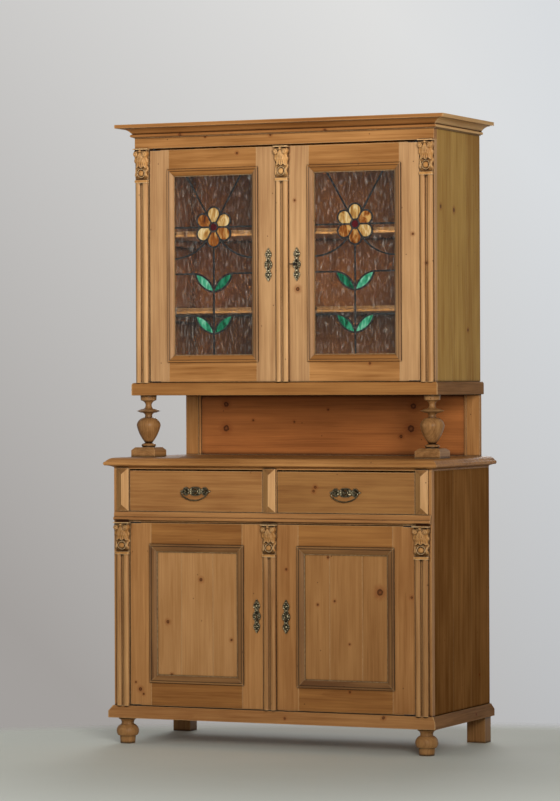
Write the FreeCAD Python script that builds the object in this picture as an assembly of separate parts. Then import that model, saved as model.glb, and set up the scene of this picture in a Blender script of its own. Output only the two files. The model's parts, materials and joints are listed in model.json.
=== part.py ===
import FreeCAD, Part
import math
import os
from types import SimpleNamespace

from FreeCAD import Vector

# Antique pine kitchen cupboard in two halves.
# The base has two drawers over two panelled doors, and stands on turned front feet.
# The upper half has two leaded glass doors and stands on two turned columns and a back board.
# Lengths are in millimetres. X runs along the front, Z is up, and the front faces -Y.
# The origin is on the floor, in the middle of the space that the cupboard covers.

# Driving dimensions of the carcases
total_height = 2100
base_width = 1158
base_depth = 526
foot_height = 89
plinth_height = 41
worktop_height = 968
niche_height = 210
upper_setback = 111
upper_width = 1099
board_thickness = 22
shelf_thickness = 18
back_thickness = 12
back_board_count = 6
side_board_count = 3

# Worktop slab and its moulded edge
worktop_thickness = 38
worktop_overhang = 28
worktop_nose_height = 13
worktop_nose_rise = 12
worktop_fillet_height = 6
# outward and upward shares of the overhang and of the step that each curve fills
worktop_cove_share = 0.72
worktop_cove_hollow_share = 0.33
worktop_ogee_swell_share = 0.75
worktop_nose_round_share = 0.16
worktop_ogee_share = 0.8

# Base front
base_post_width = 58
drawer_opening_height = 143
drawer_rail_height = 35
drawer_divider_width = 52
rail_moulding_height = 29
rail_moulding_drop = 5
rail_moulding_depth = 12
rail_moulding_end_setback = 2
rail_moulding_bead_shares = (0.2, 0.4)
plinth_overhang = 17
plinth_bevel_height = 18
plinth_bevel_depth = 11
plinth_fillet_height = 2
base_shelf_height_share = 0.4855

# Pilasters, corbels and drawer lozenges
pilaster_width = 45
pilaster_depth = 12
base_pilaster_margin = 11.5
upper_pilaster_margin = 4.5
centre_pilaster_width = 44
corbel_depth = 27
base_corbel_width = 58
base_corbel_height = 108
upper_corbel_width = 54
upper_corbel_height = 116
centre_corbel_width = 52
base_corbel_drop = 2
lozenge_width = 44
lozenge_rise = 14
lozenge_edge = 3
lozenge_gap = 2
# width and depth shares of half a pilaster's section, from its flank to its middle groove
reed_flank_share = 0.55
reed_crest_share = 0.55
reed_inner_share = 0.12
reed_groove_share = 0.42
# depth and height shares of a corbel's side outline, from its foot to its top
corbel_lip_shares = (0.52, 0.07)
corbel_waist_shares = (0.4, 0.1)
corbel_bud_shares = ((0.6, 0.25), (0.5, 0.42))
corbel_scroll_shares = ((0.52, 0.52), (0.78, 0.62), (1.0, 0.82), (0.93, 0.93), (0.8, 0.96))
corbel_foot_width_share = 0.87

# Turned front feet and square back feet
front_foot_inset = 33
front_foot_depth_inset = 32
front_foot_radius = 38
back_foot_width = 66
back_foot_depth = 54
back_foot_overhang = 6
back_foot_inset = 8
foot_block_width = 70
# radius and height shares of the foot's outline, from the floor to its collar
foot_base_shares = ((0.66, 0), (0.72, 0.3))
foot_bulb_shares = ((1.0, 0.47), (0.58, 0.73))
foot_neck_shares = ((0.56, 0.82), (0.8, 0.93))

# Turned columns and their square blocks
column_inset = 27.5
column_back_from_front = 40
column_radius = 41
column_block_width = 90
column_block_height = 33
column_block_bevel = 10
# radius and height shares of the column's outline, from the block to the upper carcase
column_ring_shares = ((0.54, 0), (0.54, 0.012), (0.6, 0.042), (0.5, 0.068), (0.3, 0.088))
column_vase_shares = ((0.77, 0.26), (1.0, 0.424), (0.8, 0.525), (0.32, 0.576))
column_disc_shares = ((0.29, 0.62), (0.38, 0.65), (0.64, 0.667), (1.0, 0.7), (0.6, 0.738))
column_cup_shares = ((0.33, 0.76), (0.26, 0.797), (0.25, 0.825), (0.33, 0.862), (0.65, 0.905), (0.68, 1))

# Back of the niche
niche_back_width = 1104
niche_stile_width = 57
niche_stile_thickness = 18
niche_bead_width = 9
niche_panel_thickness = 10
niche_panel_setback = 6

# Upper carcase
upper_base_height = 43
upper_base_overhang = 12
upper_base_strip_width = 92
upper_base_top_round = 8
upper_base_bottom_round = 3
upper_back_strip_width = 50
upper_floor_thickness = 25
upper_post_width = 52
frieze_height = 37
frieze_proud = 4
cornice_height = 44
cornice_overhang = 52
cornice_top_fillet = 12
cornice_bottom_fillet = 4
cornice_top_setback = 8
cornice_bead_height = 8
# outward and upward shares of the cornice's overhang and height where its curves turn
cornice_bead_share = 0.24
cornice_cove_shares = ((0.3, 0.52), (0.72, 0.7))
upper_shelf_height_shares = (0.2905, 0.59)
shelf_setback = 1
heel_clearance = 1
batten_width = 16
batten_height = 22

# Doors
door_thickness = 22
door_setback = 1
door_side_gap = 2.5
door_bottom_gap = 2.5
base_door_top_gap = 3
upper_door_top_gap = 6
meeting_gap = 2.5
pilaster_seat_margin = 2
base_outer_stile = 72
base_meeting_stile = 70
base_bottom_rail = 77
base_top_rail = 71
upper_outer_stile = 65.5
upper_meeting_stile = 63.5
upper_bottom_rail = 66
upper_top_rail = 66
moulding_lap = 6
moulding_proud = 5
moulding_flat = 2
base_moulding_width = 28
upper_moulding_width = 26
panel_thickness = 10
panel_board_count = 3
panel_tongue = 7
bead_depth = 9
back_bead_width = 10

# Leaded glass
glass_thickness = 3
lead_flange_width = 6
lead_flange_thickness = 0.8
lead_heart_width = 1.6
pane_clearance = 0.5
rosette_heart_radius = 15
petal_valley_radius = 44
petal_tip_radius = 68
petal_count = 6
leaf_length = 92
leaf_bulge = 15
leaf_angle = 42
rosette_height_share = 0.7
leaf_height_shares = (0.14, 0.36)
garland_drop = 66
garland_sag = 21

# Drawers and their runners
drawer_side_gap = 1.5
drawer_bottom_gap = 1
drawer_top_gap = 5
drawer_front_thickness = 20
drawer_box_setback = 1.5
drawer_side_thickness = 11
drawer_bottom_thickness = 6
drawer_bottom_rise = 12
drawer_side_drop = 15
drawer_box_length = 440
running_clearance = 0.5
runner_height = 20
guide_clearance = 0.8
kicker_clearance = 1.2

# Pivots of the doors
pivot_pin_radius = 3
pivot_running_clearance = 0.05
pivot_inset = 14
pivot_depth = 6
pivot_plate_length = 40
pivot_plate_thickness = 2
pivot_pin_bite = 5
pivot_wood_clearance = 0.5
pivot_collar_radius = 5
pivot_collar_clearance = 0.2

# Locks, key and turn buttons
base_keyhole_x = 58
base_dummy_plate_x = 49
base_keyhole_height_share = 0.5036
upper_keyhole_x = 52
upper_dummy_plate_x = 52
upper_keyhole_height_share = 0.4971
keyhole_radius = 2.55
keyhole_slot_width = 3.4
keyhole_slot_drop = 10
lock_thickness = 13
lock_half_height = 25
lock_tail = 22
lock_wall = 2
bolt_thickness = 8
bolt_low = 6
bolt_high = 20
bolt_throw = 13
bolt_tip_setback = 0.5
bolt_tail = 16
bolt_clearance = 0.2
bolt_notch = (-1, 13.5)
bolt_notch_top = 10.5
mortise_clearance = 1
key_shaft_radius = 2.5
key_reach = 42
key_bow_width = 26
key_bow_length = 20
key_bow_thickness = 3.2
key_bow_rim = 4.5
key_collar_radius = 4.2
key_collar_length = 4
key_bit_reach = 9.5
key_bit_thickness = 3
key_bit_width = 7
key_end_clearance = 0.3
button_length = 68
button_width = 18
button_thickness = 9
button_gap = 0.3
button_drop = 20
button_screw_radius = 2.5
button_screw_bite = 12
button_head_radius = 5
button_head_height = 2

# Escutcheons and drawer pulls
escutcheon_height = 112
escutcheon_width = 35
escutcheon_thickness = 2
escutcheon_boss_radius = 9
escutcheon_boss_height = 3
# width and height shares of a quarter of the plate's outline, from its finial to its side
escutcheon_finial_shares = ((0.0, 1.0), (0.2, 0.84), (0.14, 0.7))
escutcheon_lobe_shares = ((0.62, 0.64), (0.42, 0.46))
escutcheon_side_shares = ((0.8, 0.4), (0.72, 0.2), (1.0, 0.12), (1.0, 0))
pull_plate_length = 114
pull_plate_height = 28
pull_plate_thickness = 2.5
# length and height shares of a quarter of the pull's plate, from its point to its middle
pull_point_shares = ((1.0, 0.0), (0.8, 0.34))
pull_lobe_shares = ((0.64, 0.98), (0.44, 0.52))
pull_middle_shares = ((0.36, 0.5), (0.24, 0.92), (0.0, 1.0))
pull_boss_radius = 10
pull_boss_height = 7
bail_post_spread = 36
bail_post_radius = 5.5
bail_axis_proud = 10
bail_radius = 2
bail_clearance = 0.05
bail_pin_inside = 4
bail_pin_outside = 7
bail_corner_radius = 4
bail_drop = 30
bail_shoulder_radius = 16

# One overrun for every cut, so that no cut ends on a face
overrun = 5

# Heights and planes worked out from the driving dimensions
front_y = worktop_overhang - (base_depth + worktop_overhang) / 2
back_y = front_y + base_depth
upper_front_y = front_y + upper_setback
base_half = base_width / 2
upper_half = upper_width / 2
plinth_top = foot_height + plinth_height
worktop_bottom = worktop_height - worktop_thickness
rail_top = worktop_bottom - drawer_opening_height
rail_bottom = rail_top - drawer_rail_height
upper_bottom = worktop_height + niche_height
upper_floor_top = upper_bottom + upper_base_height
frieze_bottom = total_height - cornice_height - frieze_height
cornice_bottom = frieze_bottom + frieze_height
carcase_top = total_height - cornice_top_setback
meeting_half = centre_pilaster_width / 2 + pilaster_seat_margin
left_meeting_edge = meeting_half + meeting_gap
drawer_face_y = front_y + door_setback
drawer_inner_x = drawer_divider_width / 2 + drawer_side_gap
drawer_outer_x = base_half - base_post_width - drawer_side_gap
drawer_bottom = rail_top + drawer_bottom_gap
drawer_top = worktop_bottom - drawer_top_gap
pull_x = (drawer_inner_x + drawer_outer_x) / 2
pull_z = (drawer_bottom + drawer_top) / 2
base_shelf_height = plinth_top + (rail_bottom - plinth_top) * base_shelf_height_share
upper_shelf_heights = [
    upper_floor_top + (carcase_top - upper_floor_top) * share for share in upper_shelf_height_shares
]

# What the two pairs of doors have in common, in one place for each pair
base_doors = SimpleNamespace(
    face=front_y + door_setback,
    outer=base_half - base_post_width - door_side_gap,
    bottom=plinth_top + door_bottom_gap,
    top=rail_bottom - base_door_top_gap,
    seat_below=plinth_top,
    seat_above=rail_bottom,
    outer_stile=base_outer_stile,
    meeting_stile=base_meeting_stile,
    bottom_rail=base_bottom_rail,
    top_rail=base_top_rail,
    moulding_width=base_moulding_width,
    keyhole_x=base_keyhole_x,
    dummy_x=base_dummy_plate_x,
    keyhole_share=base_keyhole_height_share,
    corbel_height=base_corbel_height,
)
upper_doors = SimpleNamespace(
    face=upper_front_y + door_setback,
    outer=upper_half - upper_post_width - door_side_gap,
    bottom=upper_floor_top + door_bottom_gap,
    top=frieze_bottom - upper_door_top_gap,
    seat_below=upper_floor_top,
    seat_above=frieze_bottom,
    outer_stile=upper_outer_stile,
    meeting_stile=upper_meeting_stile,
    bottom_rail=upper_bottom_rail,
    top_rail=upper_top_rail,
    moulding_width=upper_moulding_width,
    keyhole_x=upper_keyhole_x,
    dummy_x=upper_dummy_plate_x,
    keyhole_share=upper_keyhole_height_share,
    corbel_height=upper_corbel_height,
)
for pair in (base_doors, upper_doors):
    pair.back = pair.face + door_thickness
    pair.keyhole = pair.bottom + (pair.top - pair.bottom) * pair.keyhole_share
    pair.panel_x0 = left_meeting_edge + pair.meeting_stile
    pair.panel_x1 = pair.outer - pair.outer_stile
    pair.panel_z0 = pair.bottom + pair.bottom_rail
    pair.panel_z1 = pair.top - pair.top_rail
    pair.open_x0 = pair.panel_x0 + moulding_lap
    pair.open_x1 = pair.panel_x1 - moulding_lap
    pair.open_z0 = pair.panel_z0 + moulding_lap
    pair.open_z1 = pair.panel_z1 - moulding_lap
    pair.pivot_x = pair.outer - pivot_inset
    pair.pivot_y = pair.face + pivot_depth
    pair.lock_y = pair.back - lock_thickness
    pair.bolt_y = pair.lock_y + (lock_thickness - bolt_thickness) / 2


def box(x0, x1, y0, y1, z0, z1):
    return Part.makeBox(x1 - x0, y1 - y0, z1 - z0, Vector(x0, y0, z0))


def rod(radius, start, end):
    return Part.makeCylinder(radius, start.distanceToPoint(end), start, end - start)


def prism(corners, run):
    return Part.Face(Part.makePolygon(corners + [corners[0]])).extrude(run)


def outline(start, steps, place):
    """A closed face: a step of one point is a line, a step of two is an arc through the first."""
    edges = []
    here = start
    for step in list(steps) + [(start,)]:
        there = step[-1]
        if len(step) == 2:
            edges.append(Part.Arc(place(*here), place(*step[0]), place(*there)).toShape())
        elif math.dist(here, there) > 0:
            edges.append(Part.LineSegment(place(*here), place(*there)).toShape())
        here = there
    return Part.Face(Part.Wire(edges))


def turned(start, steps, x, y, z):
    """A turned piece about a vertical axis from its half outline in (radius, height)."""
    face = outline(start, steps, lambda r, h: Vector(x + r, y, z + h))
    return face.revolve(Vector(x, y, z), Vector(0, 0, 1), 360)


def mirrored(shape):
    return shape.mirror(Vector(0, 0, 0), Vector(1, 0, 0))


def pair_of(shape):
    return [mirrored(shape), shape]


def intervals(low, high, count):
    step = (high - low) / count
    return [(low + i * step, low + (i + 1) * step) for i in range(count)]


def write(name, solids):
    """One node: its solids in one STEP file."""
    Part.makeCompound(solids).exportStep(f"parts/{name}.step")
    volume = sum(solid.Volume for solid in solids)
    print(f"{name}: {len(solids)} solids, {volume / 1e3:.0f} cm3")


def cut_all(shape, tools):
    for tool in tools:
        shape = shape.cut(tool)
    return shape


def edge_mouldings(half, front, back, z0, z1, inner, reach, start, steps):
    """A front strip and two side strips, mitred at the front corners, profiled in (overhang, height)."""
    wide = half + reach
    narrow = half - inner
    out = front - reach
    deep = front + inner
    front_face = outline(start, steps, lambda u, z: Vector(-wide, front - u, z))
    plan = [Vector(-wide, out, z0), Vector(wide, out, z0), Vector(narrow, deep, z0), Vector(-narrow, deep, z0)]
    front_strip = front_face.extrude(Vector(2 * wide, 0, 0)).common(prism(plan, Vector(0, 0, z1 - z0)))
    side_face = outline(start, steps, lambda u, z: Vector(half + u, out, z))
    plan = [Vector(wide, out, z0), Vector(wide, back, z0), Vector(narrow, back, z0), Vector(narrow, deep, z0)]
    side_strip = side_face.extrude(Vector(0, back - out, 0)).common(prism(plan, Vector(0, 0, z1 - z0)))
    return [front_strip.Solids[0]] + pair_of(side_strip.Solids[0])


def mitred_ring(x0, x1, z0, z1, width, y0, y1, start, steps):
    """Four mitred strips round an opening, profiled in (inset from the ring's edge, depth)."""
    middle = Vector((x0 + x1) / 2, 0, (z0 + z1) / 2)
    face = outline(start, steps, lambda u, y: Vector(x0, y, z0 + u))
    corners = [(x0, z0), (x1, z0), (x1 - width, z0 + width), (x0 + width, z0 + width)]
    mitre = prism([Vector(x, y0, z) for x, z in corners], Vector(0, y1 - y0, 0))
    low = face.extrude(Vector(x1 - x0, 0, 0)).common(mitre).Solids[0]
    face = outline(start, steps, lambda u, y: Vector(x0 + u, y, z0))
    corners = [(x0, z0), (x0, z1), (x0 + width, z1 - width), (x0 + width, z0 + width)]
    mitre = prism([Vector(x, y0, z) for x, z in corners], Vector(0, y1 - y0, 0))
    left = face.extrude(Vector(0, 0, z1 - z0)).common(mitre).Solids[0]
    high = low.mirror(middle, Vector(0, 0, 1))
    right = left.mirror(middle, Vector(1, 0, 0))
    return [low, high, left, right]


# Carcase of the base

def base_sides():
    inner = base_half - board_thickness
    solids = []
    for y0, y1 in intervals(front_y + board_thickness, back_y, side_board_count):
        solids += pair_of(box(inner, base_half, y0, y1, foot_height, worktop_bottom))
    return solids


def base_back_boards():
    inner = base_half - board_thickness
    boards = intervals(-inner, inner, back_board_count)
    return [box(x0, x1, back_y - back_thickness, back_y, foot_height, worktop_bottom) for x0, x1 in boards]


def base_front_frame():
    inner = base_half - base_post_width
    y1 = front_y + board_thickness
    post = box(inner, base_half, front_y, y1, foot_height, worktop_bottom)
    drawer_rail = box(-inner, inner, front_y, y1, rail_bottom, rail_top)
    bottom_rail = box(-inner, inner, front_y, y1, foot_height, plinth_top)
    half_divider = drawer_divider_width / 2
    divider = box(-half_divider, half_divider, front_y, y1, rail_top, worktop_bottom)
    seats = pivot_seats(base_doors)
    return pair_of(post) + [cut_all(drawer_rail, seats), cut_all(bottom_rail, seats), divider]


def base_floor():
    inner = base_half - board_thickness
    y0 = front_y + board_thickness
    return [box(-inner, inner, y0, back_y - back_thickness, plinth_top - shelf_thickness, plinth_top)]


def runners_and_battens():
    inner = base_half - board_thickness
    y0 = front_y + board_thickness
    y1 = back_y - back_thickness
    runner_top = drawer_bottom - running_clearance
    runner_bottom = runner_top - runner_height
    guide_top = runner_top + runner_height
    box_inner = drawer_inner_x + drawer_box_setback
    box_outer = drawer_outer_x - drawer_box_setback
    kicker_bottom = drawer_top - drawer_side_drop + kicker_clearance
    half_runner = box_inner + drawer_side_thickness
    half_guide = box_inner - guide_clearance
    runner = box(box_outer - drawer_side_thickness, inner, y0, y1, runner_bottom, runner_top)
    guide = box(box_outer + guide_clearance, inner, y0, y1, runner_top, guide_top)
    kicker = box(box_outer - drawer_side_thickness, inner, y0, y1, kicker_bottom, worktop_bottom)
    centre_runner = box(-half_runner, half_runner, y0, y1, runner_bottom, runner_top)
    centre_guide = box(-half_guide, half_guide, y0, y1, runner_top, guide_top)
    centre_kicker = box(-half_runner, half_runner, y0, y1, kicker_bottom, worktop_bottom)
    solids = pair_of(runner) + pair_of(guide) + pair_of(kicker) + [centre_runner, centre_guide, centre_kicker]
    shelf_bottom = base_shelf_height - shelf_thickness
    batten = box(inner - batten_width, inner, y0, y1, shelf_bottom - batten_height, shelf_bottom)
    solids += pair_of(batten)
    upper_inner = upper_half - board_thickness
    for height in upper_shelf_heights:
        bottom = height - shelf_thickness
        y2 = upper_doors.back + shelf_setback
        batten = box(upper_inner - batten_width, upper_inner, y2, y1, bottom - batten_height, bottom)
        solids += pair_of(batten)
    block_top = plinth_top - shelf_thickness
    for block_y0, block_y1 in ((y0, y0 + foot_block_width), (y1 - foot_block_width, y1)):
        block = box(inner - foot_block_width, inner, block_y0, block_y1, foot_height, block_top)
        solids += pair_of(block)
    return solids


def shelf(pair, half, height):
    """A board that the doors close against, notched at its front corners for the turning door heels."""
    inner = half - board_thickness
    bottom = height - shelf_thickness
    board = box(-inner, inner, pair.back + shelf_setback, back_y - back_thickness, bottom, height)
    behind_pivot = door_thickness - pivot_depth
    notch_depth = math.hypot(pivot_inset, behind_pivot) - behind_pivot + heel_clearance
    notch_x = pair.pivot_x - pivot_inset - heel_clearance
    notch = box(notch_x, inner, pair.back, pair.back + notch_depth, bottom, height)
    return cut_all(board, pair_of(notch))


def shelves():
    upper_boards = [shelf(upper_doors, upper_half, height) for height in upper_shelf_heights]
    return [shelf(base_doors, base_half, base_shelf_height)] + upper_boards


def worktop():
    """The slab and its edge: a small fillet, a cove, a round nose, and a long ovolo up to the top."""
    fillet_top = worktop_bottom + worktop_fillet_height
    nose_bottom = worktop_bottom + worktop_nose_rise
    nose_top = nose_bottom + worktop_nose_height
    cove_out = worktop_overhang * worktop_cove_share
    nose_in = worktop_overhang * (1 - worktop_nose_round_share)
    ogee_out = worktop_overhang * worktop_ogee_share
    hollow_height = nose_bottom - worktop_fillet_height * worktop_cove_hollow_share
    swell_height = nose_top + (worktop_height - nose_top) * worktop_ogee_swell_share
    start = (0, fillet_top)
    steps = [
        ((cove_out / 2, hollow_height), (cove_out, nose_bottom)),
        ((nose_in, nose_bottom),),
        ((worktop_overhang, (nose_bottom + nose_top) / 2), (nose_in, nose_top)),
        ((ogee_out, nose_top),),
        ((ogee_out / 2, swell_height), (0, worktop_height)),
    ]
    slab = box(-base_half, base_half, front_y, back_y, worktop_bottom, worktop_height)
    strips = edge_mouldings(
        base_half, front_y, back_y, worktop_bottom, worktop_height, 0, worktop_overhang, start, steps
    )
    return [slab.multiFuse(strips).removeSplitter().Solids[0]]


def base_mouldings():
    """The bevelled plinth on the front and sides, and the beaded strip on the drawer rail."""
    bevel_bottom = plinth_top - plinth_bevel_height
    shoulder = plinth_overhang - plinth_bevel_depth
    start = (0, foot_height)
    steps = [
        ((plinth_overhang, foot_height),),
        ((plinth_overhang, bevel_bottom),),
        ((shoulder, plinth_top - plinth_fillet_height),),
        ((shoulder, plinth_top),),
        ((0, plinth_top),),
    ]
    plinth = edge_mouldings(
        base_half, front_y, back_y, foot_height, plinth_top, 0, plinth_overhang, start, steps
    )
    z0 = rail_bottom + rail_moulding_drop
    flat = rail_moulding_depth / 2
    crest, bead_top = [z0 + rail_moulding_height * share for share in rail_moulding_bead_shares]
    top = z0 + rail_moulding_height
    half = base_half - rail_moulding_end_setback
    steps = [
        ((flat, z0),),
        ((rail_moulding_depth, crest), (flat, bead_top)),
        ((flat, top - flat),),
        ((flat / 2, top),),
        ((0, top),),
    ]
    strip = outline((0, z0), steps, lambda u, z: Vector(-half, front_y - u, z)).extrude(Vector(2 * half, 0, 0))
    return plinth + [strip]


def lozenge_blocks():
    """Hipped blocks on the drawer posts and divider, with one long ridge."""
    z0 = rail_bottom + rail_moulding_drop + rail_moulding_height + lozenge_gap
    z1 = worktop_bottom + worktop_fillet_height - lozenge_gap
    ridge = front_y - lozenge_rise
    edge = front_y - lozenge_edge
    half = lozenge_width / 2

    def block(x):
        plan = [(x - half, front_y), (x - half, edge), (x, ridge), (x + half, edge), (x + half, front_y)]
        side = [(front_y, z0), (edge, z0), (ridge, z0 + half), (ridge, z1 - half), (edge, z1), (front_y, z1)]
        long_roof = prism([Vector(px, py, z0) for px, py in plan], Vector(0, 0, z1 - z0))
        hips = prism([Vector(x - half, py, pz) for py, pz in side], Vector(lozenge_width, 0, 0))
        return long_roof.common(hips).Solids[0]

    x = base_half - base_pilaster_margin - pilaster_width / 2
    return [block(-x), block(0), block(x)]


def feet():
    """Turned feet under the front corners and square blocks under the back ones."""
    r, h = front_foot_radius, foot_height
    low, base_top = [(a * r, b * h) for a, b in foot_base_shares]
    widest, bulb_top = [(a * r, b * h) for a, b in foot_bulb_shares]
    neck, collar = [(a * r, b * h) for a, b in foot_neck_shares]
    bulb_low = ((base_top[0] + widest[0]) / 2, base_top[1])
    steps = [
        (low,),
        (base_top,),
        (bulb_low,),
        (widest, bulb_top),
        (neck, collar),
        ((collar[0], h),),
        ((0, h),),
    ]
    front = turned((0, 0), steps, base_half - front_foot_inset, front_y + front_foot_depth_inset, 0)
    x1 = base_half + back_foot_overhang
    y1 = back_y - back_foot_inset
    back = box(x1 - back_foot_width, x1, y1 - back_foot_depth, y1, 0, foot_height)
    return pair_of(front) + pair_of(back)


# Niche between the halves

def columns():
    """A turned column with ring, vase, disc and cup on each square block."""
    x = upper_half - column_inset
    y = upper_front_y + column_back_from_front
    half = column_block_width / 2
    top = worktop_height + column_block_height
    bevel = column_block_bevel
    blank = box(x - half, x + half, y - half, y + half, worktop_height, top)
    sides = [(-half, 0), (-half, column_block_height - bevel), (-half + bevel, column_block_height)]
    sides += [(-a, b) for a, b in reversed(sides)]
    across = prism([Vector(x + a, y - half, worktop_height + b) for a, b in sides], Vector(0, 2 * half, 0))
    along = prism([Vector(x - half, y + a, worktop_height + b) for a, b in sides], Vector(2 * half, 0, 0))
    block = blank.common(across).common(along).Solids[0]
    r, h = column_radius, upper_bottom - top
    ring = [(a * r, b * h) for a, b in column_ring_shares]
    vase = [(a * r, b * h) for a, b in column_vase_shares]
    disc = [(a * r, b * h) for a, b in column_disc_shares]
    cup = [(a * r, b * h) for a, b in column_cup_shares]
    steps = [(ring[0],), (ring[1],), (ring[2], ring[3]), (ring[4],)]
    steps += [(vase[0], vase[1]), (vase[2], vase[3])]
    steps += [(disc[0],), (disc[1], disc[2]), (disc[3],), (disc[4],)]
    steps += [(cup[0], cup[1]), (cup[2],), (cup[3], cup[4]), (cup[5],), ((0, h),)]
    return pair_of(block) + pair_of(turned((0, 0), steps, x, y, top))


def niche_back():
    """Two beaded stiles and a plain board between them."""
    outer = niche_back_width / 2
    inner = outer - niche_stile_width
    face = back_y - niche_stile_thickness
    bead = niche_bead_width
    steps = [
        ((outer, face),),
        ((outer, back_y),),
        ((inner, back_y),),
        ((inner, face + bead / 2),),
        ((inner + bead / 2, face), (inner + bead, face + bead / 2)),
        ((inner + bead, face),),
    ]
    rise = Vector(0, 0, niche_height)
    stile = outline((inner + bead, face), steps, lambda x, y: Vector(x, y, worktop_height)).extrude(rise)
    y0 = face + niche_panel_setback
    panel = box(-inner, inner, y0, y0 + niche_panel_thickness, worktop_height, upper_bottom)
    return pair_of(stile) + [panel]


# Carcase of the upper half

def upper_base():
    """A mitred base of thick round-edged strips, with a back strip and the floor let in."""
    inner = upper_base_strip_width - upper_base_overhang
    u = upper_base_overhang
    r, s = upper_base_top_round, upper_base_bottom_round
    k = 1 - math.sqrt(1 / 2)
    z0, z1 = upper_bottom, upper_floor_top
    steps = [
        ((u - s, z0),),
        ((u - k * s, z0 + k * s), (u, z0 + s)),
        ((u, z1 - r),),
        ((u - k * r, z1 - k * r), (u - r, z1)),
        ((-inner, z1),),
    ]
    strips = edge_mouldings(upper_half, upper_front_y, back_y, z0, z1, inner, u, (-inner, z0), steps)
    strips[0] = cut_all(strips[0], pivot_seats(upper_doors))
    half = upper_half - inner
    back_strip = box(-half, half, back_y - upper_back_strip_width, back_y, z0, z1)
    floor_y0 = upper_front_y + inner
    floor_z0 = z1 - upper_floor_thickness
    floor = box(-half, half, floor_y0, back_y - upper_back_strip_width, floor_z0, z1)
    return strips + [back_strip, floor]


def upper_sides():
    inner = upper_half - board_thickness
    solids = []
    for y0, y1 in intervals(upper_front_y + board_thickness, back_y, side_board_count):
        solids += pair_of(box(inner, upper_half, y0, y1, upper_floor_top, carcase_top))
    return solids


def upper_back_boards():
    inner = upper_half - board_thickness
    boards = intervals(-inner, inner, back_board_count)
    return [box(x0, x1, back_y - back_thickness, back_y, upper_floor_top, carcase_top) for x0, x1 in boards]


def upper_front_frame():
    """Two posts under the frieze board."""
    y1 = upper_front_y + board_thickness
    post = box(upper_half - upper_post_width, upper_half, upper_front_y, y1, upper_floor_top, frieze_bottom)
    frieze = box(-upper_half, upper_half, upper_front_y - frieze_proud, y1, frieze_bottom, carcase_top)
    return pair_of(post) + [cut_all(frieze, pivot_seats(upper_doors))]


def upper_top_board():
    inner = upper_half - board_thickness
    y0 = upper_front_y + board_thickness
    return [box(-inner, inner, y0, back_y - back_thickness, carcase_top - shelf_thickness, carcase_top)]


def cornice():
    """Bottom fillet, bead, hollow cove and deep top fillet, mitred at the front corners."""
    reach, rise = cornice_overhang, cornice_height
    low, top = cornice_bottom, total_height
    foot = cornice_bottom_fillet
    bead_out = reach * cornice_bead_share
    bead_low = low + foot
    bead_top = bead_low + cornice_bead_height
    hollow, shoulder = [(a * reach, low + b * rise) for a, b in cornice_cove_shares]
    fillet_low = top - cornice_top_fillet
    steps = [
        ((foot, low),),
        ((foot, bead_low),),
        ((bead_out, (bead_low + bead_top) / 2), (foot + foot / 2, bead_top)),
        (hollow, shoulder),
        ((shoulder[0], fillet_low),),
        ((reach, fillet_low),),
        ((reach, top),),
        ((0, top),),
    ]
    return edge_mouldings(upper_half, upper_front_y - frieze_proud, back_y, low, top, 0, reach, (0, low), steps)


# Pilasters and corbels

def pilaster(x, y, width, z0, z1):
    """A pair of half-round reeds with a groove between them, its back on the plane y."""
    half = width / 2
    d = pilaster_depth
    flank = d * reed_flank_share
    inner = half * reed_inner_share
    groove = d * reed_groove_share
    crest = half * reed_crest_share
    steps = [
        ((-half, -flank),),
        ((-crest, -d), (-inner, -groove)),
        ((inner, -groove),),
        ((crest, -d), (half, -flank)),
        ((half, 0),),
    ]
    face = outline((-half, 0), steps, lambda a, b: Vector(x + a, y + b, z0))
    return face.extrude(Vector(0, 0, z1 - z0))


def corbel(x, y, width, z0, height):
    """A bracket with a scroll leaning out at the top, a bud below it and a lip at its foot."""
    d = corbel_depth
    lip, waist = [(a * d, z0 + b * height) for a, b in (corbel_lip_shares, corbel_waist_shares)]
    bud = [(a * d, z0 + b * height) for a, b in corbel_bud_shares]
    scroll = [(a * d, z0 + b * height) for a, b in corbel_scroll_shares]
    top = z0 + height
    steps = [
        ((lip[0], z0),),
        (lip,),
        (waist,),
        (bud[0], bud[1]),
        (scroll[0], scroll[1]),
        (scroll[2], scroll[3]),
        (scroll[4],),
        ((scroll[4][0], top),),
        ((0, top),),
    ]
    half = width / 2
    foot = half * corbel_foot_width_share
    side = outline((0, z0), steps, lambda u, z: Vector(x - half, y - u, z)).extrude(Vector(width, 0, 0))
    corners = [(x - foot, z0), (x + foot, z0), (x + half, top), (x - half, top)]
    taper = prism([Vector(cx, y - d - overrun, cz) for cx, cz in corners], Vector(0, d + 2 * overrun, 0))
    return side.common(taper).Solids[0]


def corner_pilasters_and_corbels():
    pilasters, corbels = [], []
    x = base_half - base_pilaster_margin - pilaster_width / 2
    top = rail_bottom - base_corbel_drop
    foot = top - base_corbel_height
    pilasters += pair_of(pilaster(x, front_y, pilaster_width, plinth_top, foot))
    corbels += pair_of(corbel(x, front_y, base_corbel_width, foot, base_corbel_height))
    x = upper_half - upper_pilaster_margin - pilaster_width / 2
    foot = frieze_bottom - upper_corbel_height
    pilasters += pair_of(pilaster(x, upper_front_y, pilaster_width, upper_floor_top, foot))
    corbels += pair_of(corbel(x, upper_front_y, upper_corbel_width, foot, upper_corbel_height))
    return pilasters, corbels


def centre_pilaster(pair):
    """The pilaster and its corbel on the meeting stile of a right door."""
    foot = pair.top - pair.corbel_height
    reeds = pilaster(0, pair.face, centre_pilaster_width, pair.bottom, foot)
    return [reeds, corbel(0, pair.face, centre_corbel_width, foot, pair.corbel_height)]


# Door pivots

def pivot_levels(pair):
    """The door's end, the seat that faces it, and which way the pin points, below and above."""
    return [(pair.bottom, pair.seat_below, -1), (pair.top, pair.seat_above, 1)]


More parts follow.
